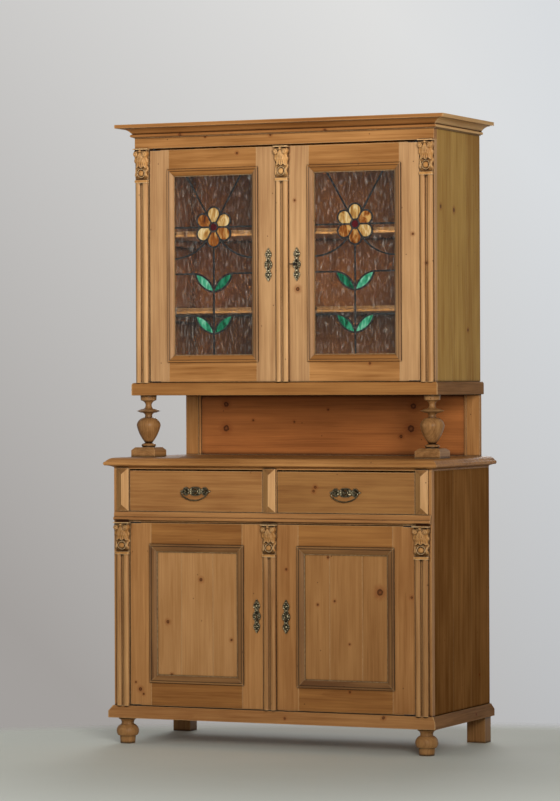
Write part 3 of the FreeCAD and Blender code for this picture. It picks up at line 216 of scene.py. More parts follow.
def hang_backdrop():
    """A wall of one soft grey that gets lighter upwards and a little cooler to the right."""
    world = bpy.data.worlds.new("studio_backdrop")
    world.use_nodes = True
    tree = world.node_tree
    tree.nodes.clear()
    way = add(tree, "TexCoord", out="Generated")
    steps = []
    for along, reach in ((to_right + Vector((0, 0, 1)), WALL_RISE), (to_right, COOL_SIDE), (ahead, FAR_WALL)):
        part = add(tree, "VectorMath", [way, along], out="Value", operation="DOT_PRODUCT")
        steps.append(add(tree, "MapRange", [part, *reach]))
    rise, cool, far = steps
    wall = add(tree, "Mix", {0: rise, 6: paint("#A29E9B"), 7: paint("#E0E0DF")}, out=2, data_type="RGBA")
    tint = add(tree, "Mix", {0: cool, 6: paint("#FFFFFF"), 7: paint("#F6FAFF")}, out=2, data_type="RGBA")
    wall = add(tree, "Mix", {0: 1.0, 6: wall, 7: tint}, out=2, data_type="RGBA", blend_type="MULTIPLY")
    wall = add(tree, "Mix", {0: far, 6: paint("#8F8C89"), 7: wall}, out=2, data_type="RGBA")
    seen = add(tree, "Background", {"Color": wall, "Strength": 1.0})
    soft = add(tree, "Background", {"Color": paint("#F6F4F0"), "Strength": ROOM_LIGHT})
    mixed = add(tree, "MixShader", [seen_directly(tree), soft, seen])
    add(tree, "OutputWorld", {"Surface": mixed}, out=None)
    scene.world = world


disc = bmesh.new()
bmesh.ops.create_circle(disc, cap_ends=True, segments=FLOOR_SIDES, radius=FLOOR_RADIUS)
floor = to_object(disc, "studio_floor", floor_paint())
floor.location = (FLOOR_FORWARD * math.sin(AZIMUTH), -FLOOR_FORWARD * math.cos(AZIMUTH), 0)
hang_backdrop()
scene.view_settings.view_transform = "Standard"
print("floor radius", FLOOR_RADIUS, "m")

# %% [markdown]
# ## Lamps
# The bright facets of the lozenges face right and the turned columns carry their highlight near their middle,
# so the main light is a large soft box a little to the right of the camera. It hangs high, which leaves the
# base darker than the top, as in the picture. A weaker box from the left keeps the shadows open, and a third
# one behind does the same for the back. A sun lamp would be simpler, but its shadows would be too hard.

# %% Lamps
def soft_box(name, azimuth, height, distance, size, watts, tint, aim, spread):
    """An area lamp at an angle from the front, measured towards the right. A grid narrows its spread."""
    angle = math.radians(azimuth)
    lamp = bpy.data.lights.new(name, "AREA")
    lamp.shape = "RECTANGLE"
    lamp.size, lamp.size_y = size
    lamp.energy = watts
    lamp.color = paint(tint)[:3]
    lamp.spread = math.radians(spread)
    holder = bpy.data.objects.new(name, lamp)
    holder.location = (math.sin(angle) * distance, -math.cos(angle) * distance, height)
    holder.rotation_euler = (Vector(aim) - holder.location).to_track_quat("-Z", "Y").to_euler()
    scene.collection.objects.link(holder)


soft_box("key_light", azimuth=31, height=2.2, distance=5.6, size=(2.0, 2.1), watts=52, tint="#FFFDFA",
         aim=(-1.0, 0, 2.05), spread=66)
soft_box("fill_light", azimuth=-50, height=1.8, distance=4.6, size=(2.2, 2.0), watts=6, tint="#F8F6F4",
         aim=(0, 0, 1.2), spread=120)
soft_box("back_light", azimuth=195, height=2.4, distance=4.5, size=(2.4, 2.0), watts=24, tint="#FFFFFF",
         aim=(0, 0, 1.0), spread=120)

# %% [markdown]
# ## Knots
# Old pine furniture was stripped of its paint and waxed, so what one sees is the wood. Knots are its
# branches. Small ones fall by chance, and the large ones are set where the real boards have them. A dark spot
# could simply be painted for each, but it would look stuck on. Here one number says how far away the nearest
# knot is, and the heart, its ring of bark and the wood that swerves round it all follow from it.

# %% Knots
PIN_KNOT_SPACING_MM, PIN_KNOT_RADIUS_MM = 170.0, 4.0
RAGGED_SHARE = 0.5
# Where chance gives no knot, it is as good as far away.
NO_KNOT = 99.0


def nearest_knot(tree, place, face, ragged, knots, pin_knots):
    """How far the nearest knot is, in radii of that knot, with a ragged outline."""
    spots = add(tree, "TexVoronoi", {"Vector": face, "Scale": 1 / (PIN_KNOT_SPACING_MM * MM)}, out=None,
                voronoi_dimensions="2D")
    chance = add(tree, "SeparateXYZ", [spots["Color"]])
    missing = add(tree, "Math", [chance, pin_knots], operation="GREATER_THAN")
    spread = add(tree, "Math", [spots["Distance"], PIN_KNOT_SPACING_MM / PIN_KNOT_RADIUS_MM],
                 operation="MULTIPLY")
    near = add(tree, "Math", [missing, NO_KNOT, spread], operation="MULTIPLY_ADD")
    for point, radius, in_face in knots:
        offset = add(tree, "VectorMath", [place, point], operation="SUBTRACT")
        flat = add(tree, "VectorMath", [offset, in_face], operation="MULTIPLY")
        length = add(tree, "VectorMath", [flat], out="Value", operation="LENGTH")
        share = add(tree, "Math", [length, radius * MM], operation="DIVIDE")
        near = add(tree, "Math", [near, share], operation="MINIMUM")
    return add(tree, "Math", [ragged, RAGGED_SHARE, near], operation="MULTIPLY_ADD")


print("small knots: one chance in every", PIN_KNOT_SPACING_MM, "mm")

# %% [markdown]
# ## Year rings
# Pine has soft pale early wood and harder, darker late wood, so a flat-sawn board shows wide arches in its
# middle and close lines at its edges. A picture of wood could be wrapped round each board, but then the end
# grain wouldn't fit the faces. The pattern here is the real one: distance from the pith of the tree, cut by
# the board. Each board brings its own place in the tree in a mesh attribute, in metres. The pith wanders on
# its way up, and near a knot the rings swerve.

# %% Year rings
RING_MM = 7.0
WANDER_MM, WANDER_REACH_MM = (170.0, 170.0, 900.0), 26.0
SWERVE_RINGS = 1.2
LATE_WOOD = (0.15, 0.95)
# Noise lies between nought and one, and swings about its middle.
MIDDLE = 0.5


def per_mm(lengths):
    """How often a pattern repeats in a metre, from its length in millimetres along each way of the board."""
    return tuple(1 / (length * MM) for length in lengths)


def late_wood(tree, board, halo):
    """How far a year has gone from pale early wood to dark late wood. The halo of a knot bends the rings."""
    slow = add(tree, "VectorMath", [board, per_mm(WANDER_MM)], operation="MULTIPLY")
    wander = add(tree, "TexNoise", {"Vector": slow, "Scale": 1.0, "Detail": 1.0}, out="Color")
    centred = add(tree, "VectorMath", [wander, (MIDDLE, MIDDLE, MIDDLE)], operation="SUBTRACT")
    reach = (WANDER_REACH_MM * MM, WANDER_REACH_MM * MM, 0)
    section = add(tree, "VectorMath", [board, (1, 1, 0)], operation="MULTIPLY")
    pith = add(tree, "VectorMath", [centred, reach, section], operation="MULTIPLY_ADD")
    distance = add(tree, "VectorMath", [pith], out="Value", operation="LENGTH")
    count = add(tree, "Math", [distance, RING_MM * MM], operation="DIVIDE")
    swerve = add(tree, "Math", [halo, SWERVE_RINGS, count], operation="MULTIPLY_ADD")
    year = add(tree, "Math", [swerve], operation="FRACT")
    return add(tree, "MapRange", [year, *LATE_WOOD], interpolation_type="SMOOTHSTEP")


print("rings", RING_MM, "mm wide")

# %% [markdown]
# ## Wax, wear and painted light
# Wax darkens in the corners, and hands rub the arrises paler. Here the dark in the corners is partly
# painted shade, and the pale arrises are partly painted highlights. Both could be painted by hand, board
# after board. Two occlusion nodes find them on every board: one looks out, and is hemmed in where the
# corners are, and one looks into the wood, and soon comes out again near an arris. Where a moulding has
# quirks too fine for that, a second attribute says where the dark wax and painted shade sit.

# %% Wax, wear and painted light
# The darkening in the corners is partly dark wax and partly painted shade.
GRIME_AND_SHADE_REACH, GRIME_AND_SHADE_SHARE, LINE_REACH = (0.45, 0.97), 0.55, (0.6, 0.88)
# The pale arrises are partly wear and partly a painted highlight.
RUB_AND_HIGHLIGHT_MM, RUB_AND_HIGHLIGHT_REACH = 3.0, (0.5, 0.97)


def wax_and_painted_shade(tree, crease_mm):
    """Dark wax and painted shade: a soft shade in each corner, a line in its bottom, and the marked seams."""
    corner = add(tree, "AmbientOcclusion", {"Distance": crease_mm * MM}, out="AO", samples=8)
    dark = add(tree, "MapRange", [corner, *GRIME_AND_SHADE_REACH, GRIME_AND_SHADE_SHARE, 0])
    line = add(tree, "MapRange", [corner, *LINE_REACH, 1, 0])
    seam_wax_and_shade = add(tree, "Attribute", out="Fac", attribute_name="seam_wax_and_shade")
    for other in (line, seam_wax_and_shade):
        dark = add(tree, "Math", [dark, other], operation="MAXIMUM")
    return dark


def rubbed_and_highlit_arrises(tree, rub_and_highlight, ragged):
    """Where hands have rubbed the arrises pale, more here and less there, partly as a painted highlight."""
    arris = add(tree, "AmbientOcclusion", {"Distance": RUB_AND_HIGHLIGHT_MM * MM}, out="AO", samples=6, inside=True)
    worn_and_highlit = add(tree, "MapRange", [arris, *RUB_AND_HIGHLIGHT_REACH, 2 * rub_and_highlight, 0])
    return add(tree, "Math", [worn_and_highlit, ragged], operation="MULTIPLY")


print("arrises rubbed within", RUB_AND_HIGHLIGHT_MM, "mm")

# %% [markdown]
# ## Waxed pine
# With knots, rings, wax and wear at hand, the colour is built up in layers, the way a finisher works: the
# wood from pale to deep, a warm tinge round each knot, the knot, a few worm holes, dark wax with painted
# shade in the corners, and last what hands have rubbed, which also paints a highlight on the arrises. One
# mixed brown would be quicker, but then no two layers could differ from board to board. The late wood stands
# a little proud, because it wears less than the early wood between.

# %% Pine material
# Fibre is really about 0.1 mm thick. It is drawn about 3 mm thick, as coarse as it needs to be to show.
FIBRE_MM, STREAK_MM, CLOUD_MM = (3.0, 3.0, 110.0), (15.0, 15.0, 420.0), (85.0, 85.0, 300.0)
FIBRE_SHARE, CLOUD_SHARE, BOARD_SHARE = 0.8, 1.25, 0.35
LATE_MEAN, LATE_STANDS = 0.45, 0.4
RAGGED_MM = 9.0
# How far a knot, and the wood that it disturbs, reach in radii of the knot.
KNOT_RIM, KNOT_EDGE, KNOT_REACH = (0.35, 1.0), 1.4, 3.4
KNOT_SHARE, TINGE_SHARE = 0.9, 0.55
SPECK_SPACING_MM, SPECK_RADIUS_MM, SPECK_CHANCE, SPECK_SHARE = 75.0, 1.3, 0.16, 0.75
SPECK_EDGE = SPECK_RADIUS_MM / SPECK_SPACING_MM
WAX_IOR, WAX_POLISHED, WAX_DULL = 1.5, 0.08, 0.12
GRAIN_STRENGTH, GRAIN_DEPTH_MM = 0.5, 0.35
# The rubbed colour is partly wear and partly a painted highlight.
KNOT_HEART, KNOT_BARK, KNOT_TINGE, WORM_HOLE, RUBBED_AND_HIGHLIGHT = "#7E4824", "#341709", "#82461F", "#3A2012", "#E2BE8C"


# The crease colour is dark wax and painted shade in the corners. The rub share is pale wear and painted
# highlight on the arrises.
def pine(name, pale, deep, crease, knots=(), pin_knots=0.14, crease_mm=9, rings=0.14, streaks=1.2, rub_and_highlight=0.3,
         wax=0.46, gloss=0.12):
    """Flat-sawn waxed pine. A knot is (place in metres, radius in mm, which axes lie in the board's face)."""
    material, tree = empty_material(name)
    board = add(tree, "Attribute", out="Vector", attribute_name="grain")
    tone = add(tree, "Attribute", out="Fac", attribute_name="tone")
    place = add(tree, "TexCoord", out="Object")
    across, _, along = add(tree, "SeparateXYZ", [board], out=None)
    face = add(tree, "CombineXYZ", {"X": across, "Y": along})
    ragged = add(tree, "TexNoise", {"Vector": face, "Scale": 1 / (RAGGED_MM * MM), "Detail": 1.0})
    near = nearest_knot(tree, place, face, ragged, knots, pin_knots)
    core, halo = (add(tree, "MapRange", [near, KNOT_RIM[1], reach, 1, 0], interpolation_type="SMOOTHSTEP")
                  for reach in (KNOT_EDGE, KNOT_REACH))
    late = late_wood(tree, board, halo)

    # How deep the wood's own colour is: rings, fibre, streaks and clouds, and the tone of the whole board.
    depth = add(tree, "Math", [late, rings, MIDDLE - LATE_MEAN * rings], operation="MULTIPLY_ADD")
    fibre = None
    patterns = ((FIBRE_MM, FIBRE_SHARE, 2.5), (STREAK_MM, streaks, 2.0), (CLOUD_MM, CLOUD_SHARE, 4.0))
    for lengths, weight, detail in patterns:
        drawn = add(tree, "VectorMath", [board, per_mm(lengths)], operation="MULTIPLY")
        noise = add(tree, "TexNoise", {"Vector": drawn, "Scale": 1.0, "Detail": detail})
        swing = add(tree, "Math", [noise, -MIDDLE], operation="ADD")
        depth = add(tree, "Math", [swing, weight, depth], operation="MULTIPLY_ADD")
        fibre = fibre or noise
    lean = add(tree, "Math", [tone, -MIDDLE], operation="ADD")
    depth = add(tree, "Math", [lean, BOARD_SHARE, depth], operation="MULTIPLY_ADD", use_clamp=True)

    # Knots: a red brown heart in a dark ring of bark, and warmer wood around them. Then a few worm holes.
    tinge = add(tree, "Math", [halo, TINGE_SHARE], operation="MULTIPLY")
    rim = add(tree, "MapRange", [near, *KNOT_RIM])
    knot = add(tree, "Mix", {0: rim, 6: paint(KNOT_HEART), 7: paint(KNOT_BARK)}, out=2, data_type="RGBA")
    heart = add(tree, "Math", [core, KNOT_SHARE], operation="MULTIPLY")
    holes = add(tree, "TexVoronoi", {"Vector": face, "Scale": 1 / (SPECK_SPACING_MM * MM)}, out=None,
                voronoi_dimensions="2D")
    rare = add(tree, "SeparateXYZ", [holes["Color"]], out="Y")
    kept = add(tree, "Math", [rare, SPECK_CHANCE], operation="LESS_THAN")
    speck = add(tree, "MapRange", [holes["Distance"], SPECK_EDGE, SPECK_EDGE * 2, SPECK_SHARE, 0])
    speck = add(tree, "Math", [speck, kept], operation="MULTIPLY")

    # The last two layers are painted shade in the corners and painted highlights on the arrises, each mixed
    # with real wax and wear.
    colour = paint(pale)
    layers = ((depth, paint(deep)), (tinge, paint(KNOT_TINGE)), (heart, knot), (speck, paint(WORM_HOLE)),
              (wax_and_painted_shade(tree, crease_mm), paint(crease)), (rubbed_and_highlit_arrises(tree, rub_and_highlight, ragged), paint(RUBBED_AND_HIGHLIGHT)))
    for share, layer in layers:
        colour = add(tree, "Mix", {0: share, 6: colour, 7: layer}, out=2, data_type="RGBA")

    shine = add(tree, "MapRange", [fibre, 0, 1, wax - WAX_POLISHED, wax + WAX_DULL])
    relief = add(tree, "Math", [late, LATE_STANDS, fibre], operation="MULTIPLY_ADD")
    relief = add(tree, "Math", [speck, -1.0, relief], operation="MULTIPLY_ADD")
    bump = add(tree, "Bump", {"Height": relief, "Strength": GRAIN_STRENGTH, "Distance": GRAIN_DEPTH_MM * MM})
    surface = add(tree, "BsdfPrincipled", {"Base Color": colour, "Roughness": shine, "Normal": bump,
                                           "IOR": WAX_IOR, "Specular IOR Level": gloss})
    add(tree, "OutputMaterial", {"Surface": surface}, out=None)
    return material


print("fibre drawn", FIBRE_MM[0], "mm thick")

# %% [markdown]
# ## The pines of this cupboard
# All of it is pine, but not one colour. The front is honey yellow. The two sides are browner, the base's
# most of all, partly as painted shade. The board at the back of the niche is reddish, and the insides were
# never waxed: they have gone a dull red brown. One pine with a tint for each board could do, but wax, wear,
# painted light and knots differ too, so each kind of board gets a mix of its own. The large knots of the
# boards are listed first.

# %% Mix the pines
# Which axes lie in a face that looks forward, and in one that looks sideways.
FACE_Y, FACE_X = (1, 0, 1), (0, 1, 1)


def on_front(*spots):
    """Knots on a face that looks forward, each given as x, z and radius in millimetres."""
    return [((x * MM, 0, z * MM), radius, FACE_Y) for x, z, radius in spots]


def on_side(*spots):
    """Knots on a face that looks sideways, each given as y, z and radius in millimetres."""
    return [((0, y * MM, z * MM), radius, FACE_X) for y, z, radius in spots]


LEFT_PANEL_KNOTS = on_front((-257, 560, 5.5), (-381, 416, 5.5), (-367, 239, 4), (-145, 361, 4))
RIGHT_PANEL_KNOTS = on_front((393, 531, 11), (208, 643, 4), (231, 499, 3.5), (170, 486, 3.5), (284, 358, 3))
DRAWER_KNOTS = on_front((165, 874, 5), (159, 861, 4.5))
NICHE_KNOTS = on_front((-399, 1145, 9), (-399, 1061, 11), (-295, 1089, 3.5), (-138, 1084, 3.5),
                       (-10, 1126, 3.5), (308, 1138, 10), (299, 1061, 12), (262, 1034, 6))
SIDE_KNOTS = on_side((-84, 1800, 6), (35, 1793, 7), (161, 1395, 5))
CORNICE_KNOTS = on_front((164, 2060, 5), (-180, 2051, 5), (-372, 2062, 5))
STILE_KNOTS = on_front((45, 1830, 3.5), (55, 1533, 7))
BASE_STILE_KNOTS = on_front((-482, 187, 6), (-470, 171, 3.5), (-499, 210, 3))
PLINTH_KNOTS = on_front((411, 122, 5), (60, 108, 4))

# Uprights of the upper front: stripped and waxed, honey coloured, with a soft sheen.
stile = pine("waxed_pine_stile", "#C59A6B", "#9A6F48", "#3E210F", STILE_KNOTS)
# Level boards of the upper front and the worktop: the same wax, in a deeper and redder gold.
rail = pine("waxed_pine_rail", "#BB864F", "#845427", "#3A1E0C")
# The cornice: kitchen smoke has tanned it, so it is the warmest brown of the top.
cornice_pine = pine("waxed_pine_cornice", "#B27B45", "#88562A", "#42240E", CORNICE_KNOTS, pin_knots=0.02)
# Where the cornice turns the corner it is painted pale gold: painted light on a return that stands in shade.
cornice_return_painted_light = pine("waxed_pine_cornice_return", "#E2B77D", "#BA8D58", "#42240E", pin_knots=0.05,
                      gloss=0.08)
# Uprights of the base: a little browner than those above.
base_stile = pine("waxed_pine_base_stile", "#B4824F", "#8F5F33", "#3E220F", BASE_STILE_KNOTS)
# Level boards of the base, and the strips under the upper half: browner again.
base_rail = pine("waxed_pine_base_rail", "#A3703C", "#7A4C24", "#341B0B", PLINTH_KNOTS, pin_knots=0.03)
# Sides of the upper half: a greenish, dusty honey that hardly shines. Part of their darkness against the
# front is painted shade.
upper_side = pine("waxed_pine_upper_side", "#B8924E", "#92672A", "#3D2912", SIDE_KNOTS, pin_knots=0.06,
                  gloss=0.04, rub_and_highlight=0.2)
# Sides of the base: dry old wax in a dark, quite matt brown, which is partly painted shade.
base_side = pine("waxed_pine_base_side", "#96683A", "#653E1A", "#2E1B0C", pin_knots=0.05, streaks=1.0,
                 gloss=0.0, rub_and_highlight=0.15)
# Plinth and drawer rail mouldings: black wax and painted shade in their steps, and pale edges where shoes
# and hands rub, partly painted highlights.
base_moulded = pine("waxed_pine_base_moulding", "#B4824F", "#8B5B31", "#2A1508", PLINTH_KNOTS, pin_knots=0.04,
                    crease_mm=14, rub_and_highlight=0.4)
# Mouldings that return along the sides: as brown and dull as the sides, with the same painted shade.
return_pine = pine("waxed_pine_return", "#966A3F", "#6A4524", "#2E1B0C", pin_knots=0.05, gloss=0.03, rub_and_highlight=0.2)
# Door panels of flat-sawn boards: broad quiet grain and round knots. The left one is lighter.
left_panel = pine("waxed_pine_left_panel", "#B98A59", "#98693A", "#2C170A", LEFT_PANEL_KNOTS,
                  pin_knots=0.0, streaks=0.8)
right_panel = pine("waxed_pine_right_panel", "#AB7C4B", "#885B30", "#2C170A", RIGHT_PANEL_KNOTS,
                   pin_knots=0.0, streaks=0.8)
# Drawer fronts: their arrises are worn pale by pulling, partly a painted highlight. The right one is darker.
left_drawer_pine = pine("waxed_pine_left_drawer", "#B3824D", "#8B5C32", "#3E220F", pin_knots=0.02, rub_and_highlight=0.5)
right_drawer_pine = pine("waxed_pine_right_drawer", "#9E703F", "#784C27", "#3E220F", DRAWER_KNOTS,
                         pin_knots=0.02, rub_and_highlight=0.5)
# Glazing beads: thin strips of plain wood, with wax and painted shade along both edges.
bead = pine("waxed_pine_bead", "#B48A5F", "#89623F", "#241108", pin_knots=0.0, crease_mm=12, rub_and_highlight=0.15)
# Panel mouldings: dark with old wax, and nearly black with wax and painted shade in the quirks.
moulding = pine("waxed_pine_moulding", "#936A40", "#674529", "#0C0502", pin_knots=0.0, crease_mm=14, rub_and_highlight=0.25)
# Reeded pilasters: rubbed pale on the ridges, partly a painted highlight, and dark in the grooves with wax
# and painted shade. Those of the base are browner.
reeded = pine("waxed_pine_reeded", "#CDA06E", "#A47546", "#2A1307", pin_knots=0.03, crease_mm=13, rub_and_highlight=0.45)
base_reeded = pine("waxed_pine_base_reeded", "#BE905D", "#8F6238", "#261208", pin_knots=0.03, crease_mm=11,
                   rub_and_highlight=0.45)
# Lozenge blocks: light and shade painted on the facets. Pale on those that face the window, browner as
# painted shade on the others, brownest on end grain, which is partly painted shade too.
lozenge_pine = pine("waxed_pine_lozenge", "#CFA06B", "#A07242", "#2A150A", pin_knots=0.0, crease_mm=10,
                    rub_and_highlight=0.5)
lozenge_painted_shade = pine("waxed_pine_lozenge_shade", "#A47A4A", "#7C562C", "#2A150A", pin_knots=0.0, rub_and_highlight=0.5)
lozenge_end_grain_and_shade = pine("waxed_pine_lozenge_end", "#986D40", "#704B28", "#2A150A", pin_knots=0.0, rub_and_highlight=0.5)
# Back board of the niche: a red, resinous pine under a fresher wax, so it glows in its shade.
niche_pine = pine("waxed_red_pine", "#B26D38", "#8B5227", "#341A0C", NICHE_KNOTS, pin_knots=0.02,
                  crease_mm=18, gloss=0.15)
# Insides and backs: sawn pine that was never waxed, rough, streaky and red brown with age.
inner_pine = pine("bare_inner_pine", "#A56C3A", "#5E3416", "#20130A", pin_knots=0.12, crease_mm=18,
                  streaks=1.4, wax=0.62, gloss=0.1)
# Shelves: bare too, but planed, and kept pale behind the doors.
shelf_pine = pine("bare_shelf_pine", "#D2A066", "#A9773F", "#2A1A10", crease_mm=12, wax=0.55, gloss=0.15)
# Turned work: polished on the lathe, so it shines a little more and shows its rings as hoops.
turned = pine("turned_waxed_pine", "#A67A4B", "#714B28", "#2A180B", pin_knots=0.0, crease_mm=12, rings=0.2,
              wax=0.36)
# Carved work: pale on what stands out, partly a painted highlight, and dark in every cut with wax and
# painted shade. That of the base is browner.
carved = pine("carved_waxed_pine", "#D6A367", "#A8733C", "#2A1307", pin_knots=0.0, crease_mm=14, rub_and_highlight=0.8,
              wax=0.4)
base_carved = pine("carved_waxed_pine_base", "#BF8B51", "#8D5E2D", "#220F05", pin_knots=0.0, crease_mm=15,
                   rub_and_highlight=0.85, wax=0.4)
print("pine materials", sum("pine" in m.name for m in bpy.data.materials))

# %% [markdown]
# ## From a CAD solid to a worked board
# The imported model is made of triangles, and each flat face has its own corner points. To bevel it, the solid
# has to be whole again: points that coincide are joined, and flat faces are dissolved into single polygons.
# But two boards that touch share corner places too, so joining them blindly would glue the cupboard into one
# lump. The triangles come solid by solid, and a solid is complete when each of its edges has been met from
# both sides.

# %% Split a node into its solids
WELD = 0.005 * MM
FLAT_DEGREES = 0.2


def solids_in(node):
    """The closed solids of a CAD node, each as triangles of corner places."""
    mesh = frame["nodes"][node].data
    places = [tuple(round(c / WELD) for c in v.co) for v in mesh.vertices]
    solids, current, open_edges = [], [], set()
    for polygon in mesh.polygons:
        corners = [places[i] for i in polygon.vertices]
        if len(set(corners)) < len(corners):
            continue
        current.append(corners)
        for a, b in zip(corners, corners[1:] + corners[:1]):
            open_edges ^= {frozenset((a, b))}
        if not open_edges:
            solids.append(current)
            current = []
    if current:
        solids.append(current)
    return solids


def whole_solid(triangles):
    """A bmesh of one solid, with its flat faces in one piece."""
    mesh = bmesh.new()
    points = {}
    for corners in triangles:
        for place in corners:
            if place not in points:
                points[place] = mesh.verts.new([c * WELD for c in place])
        mesh.faces.new([points[place] for place in corners])
    bmesh.ops.recalc_face_normals(mesh, faces=mesh.faces)
    bmesh.ops.dissolve_limit(mesh, angle_limit=math.radians(FLAT_DEGREES), verts=mesh.verts, edges=mesh.edges)
    return mesh


def bounds_of(triangles):
    corners = [Vector(place) * WELD for triangle in triangles for place in triangle]
    low = Vector(min(c[i] for c in corners) for i in range(3))
    high = Vector(max(c[i] for c in corners) for i in range(3))
    return low, high


print("solids", {node: len(solids_in(node)) for node in ("base_sides", "shelves", "upper_left_glass")})

# %% [markdown]
# ## Rounded arrises, and where each board grew
# A hand plane and a century of polishing leave every arris rounded by a millimetre or so. A bevel modifier
# could do that, but it would round the joints between boards as if they were glued. Bevelling each solid by
# itself also makes a fine shadow line where two boards meet. Then each board gets its grain: its longest side
# runs up the tree, its widest goes round it, and a random shift puts the pith somewhere below.

# %% Dress a node
ARRIS_DEGREES, SMOOTH_DEGREES = 40, 38
# Where the pith of a board's tree lies: to either side and below in mm, and how far up the tree in metres.
PITH_ASIDE_MM, PITH_BELOW_MM, UP_THE_TREE = 35, (35, 80), 30


def body_of(node):
    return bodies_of(frame["nodes"][node])[0]


class Joinery:
    """Gathers worked solids into one mesh that stands for a CAD node, each with grain, tone and finish."""

    def __init__(self, node, how="worked"):
        self.node = node
        self.name = f"{node}_{how}"
        self.chance = random.Random(self.name)
        self.points, self.faces, self.grain, self.tone, self.finish = [], [], [], [], []

    def add_solid(self, mesh, finish=0):
        """Adds a solid. Its finish is a material's number, or a function that gives one for each face."""
        points = [v.co.copy() for v in mesh.verts]
        low = Vector(min(p[i] for p in points) for i in range(3))
        high = Vector(max(p[i] for p in points) for i in range(3))
        thin, wide, long = sorted(range(3), key=lambda i: high[i] - low[i])
        pith = (
            self.chance.uniform(-PITH_ASIDE_MM, PITH_ASIDE_MM) * MM,
            self.chance.choice((-1, 1)) * self.chance.uniform(*PITH_BELOW_MM) * MM,
            self.chance.uniform(0, UP_THE_TREE),
        )
        tone = self.chance.random()
        start = len(self.points)
        mesh.verts.index_update()
        for point in points:
            off = point - (low + high) / 2
            self.grain += [off[wide] + pith[0], off[thin] + pith[1], off[long] + pith[2]]
            self.tone.append(tone)
        self.points += points
        for face in mesh.faces:
            self.faces.append([start + v.index for v in face.verts])
            self.finish.append(finish(face) if callable(finish) else finish)
        mesh.free()

    def build(self, materials, smooth_degrees=SMOOTH_DEGREES):
        data = bpy.data.meshes.new(self.name)
        data.from_pydata(self.points, [], self.faces)
        data.attributes.new("grain", "FLOAT_VECTOR", "POINT").data.foreach_set("vector", self.grain)
        data.attributes.new("tone", "FLOAT", "POINT").data.foreach_set("value", self.tone)
        for material in materials:
            data.materials.append(material)
        data.polygons.foreach_set("material_index", self.finish)
        data.polygons.foreach_set("use_smooth", [True] * len(data.polygons))
        data.update()
        data.set_sharp_from_angle(angle=math.radians(smooth_degrees))
        piece = bpy.data.objects.new(self.name, data)
        scene.collection.objects.link(piece)
        even = piece.modifiers.new("even_shading", "WEIGHTED_NORMAL")
        even.keep_sharp = True
        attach(piece, body_of(self.node))
        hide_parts(self.node)
        return piece


def round_arrises(mesh, width_mm, sharp_degrees=ARRIS_DEGREES):
    """Bevels the sharp outer edges of a solid with two facets. Inner corners stay crisp."""
    if width_mm:
        sharp = [e for e in mesh.edges if e.is_manifold and e.is_convex
                 and e.calc_face_angle(0) > math.radians(sharp_degrees)]
        bmesh.ops.bevel(mesh, geom=sharp, offset=width_mm * MM, offset_type="OFFSET", segments=2, profile=0.5,
                        affect="EDGES", clamp_overlap=True)
    return mesh


def way_of(board):
    """Which way a board runs: 0 from side to side, 1 from front to back, 2 upright."""
    spans = [max(v.co[i] for v in board.verts) - min(v.co[i] for v in board.verts) for i in range(3)]
    return spans.index(max(spans))


def dress(node, pines, slot, arris, choose=way_of):
    """A worked copy of a CAD node that stands for it. choose gives each board its finish out of the pines."""
    piece = Joinery(node)
    for triangles in solids_in(node):
        board = round_arrises(whole_solid(triangles), arris)
        piece.add_solid(board, choose(board))
    return piece.build(pines)


print("pith", PITH_BELOW_MM, "mm below the middle of a board")

# %% [markdown]
# ## The two carcases
# The sides are three upright boards each and the backs are six. The fronts are framed, with mouldings planted
# on. One rule could dress them all, but broad boards get a generous arris and thin mouldings a fine one, so
# that their small steps survive. A frame holds boards of up to three ways, and each way has its own pine. The
# sides were waxed only on the outside, so their inner faces stay bare.

# %% Carcases
SIDE_ARRIS_MM = 1.4
# Each row is a node, its pines for boards that run across, to the back and upright, its slot and its arris.
WOODWORK = [
    ("base_back_boards", [inner_pine] * 3, "inner_pine", 1.6),
    ("upper_back_boards", [inner_pine] * 3, "inner_pine", 1.6),
    ("base_front_frame", [base_rail, base_rail, base_stile], "waxed_pine", 0.8),
    ("upper_front_frame", [rail, rail, stile], "waxed_pine", 0.8),
    ("base_floor", [inner_pine] * 3, "inner_pine", 1.2),
    ("runners_and_battens", [inner_pine] * 3, "inner_pine", 1.0),
    ("upper_top_board", [inner_pine] * 3, "inner_pine", 1.2),
    ("worktop", [rail] * 3, "waxed_pine", 1.0),
    ("base_mouldings", [base_moulded, return_pine, base_moulded], "waxed_pine", 0.9),
    ("upper_base", [base_rail, return_pine, base_rail], "waxed_pine", 0.9),
    ("cornice", [cornice_pine, cornice_return_painted_light, cornice_pine], "waxed_pine", 0.9),
    ("niche_back", [niche_pine, niche_pine, rail], "red_pine", 0.8),
    ("feet", [turned] * 3, "turned_pine", 0.8),
    ("columns", [turned] * 3, "turned_pine", 0.8),
]
for row in WOODWORK:
    piece = dress(*row)
    print(row[0], len(piece.data.polygons), "faces")


def on_the_inside(face):
    """One for a face that looks from a side of the cupboard towards its middle."""
    return int(face.normal.x * face.calc_center_median().x < 0)


for node, waxed in (("base_sides", base_side), ("upper_sides", upper_side)):
    dress(node, [waxed, inner_pine], "waxed_pine", SIDE_ARRIS_MM, lambda board: on_the_inside)

# %% [markdown]
# ## Shelves, lozenges and pilasters
# The shelves are thick boards whose front edge is planed to a slope underneath, so that they look thin behind
# the glass. That slope is one cut and a lifted edge, simpler than a boolean. The lozenges are blocks planed
# to shallow pyramids, and light and shade are painted on their facets: the finish goes by the way each facet
# looks. The reeds of the pilasters are in the CAD solids, and only their arrises are softened.

# %% Shelves, lozenges and pilasters
SHELF_CHAMFER_DEEP_MM, SHELF_CHAMFER_HIGH_MM, SHELF_ARRIS_MM = 5.0, 8.0, 0.8
LOZENGE_ARRIS_MM, REED_ARRIS_MM = 0.7, 0.5
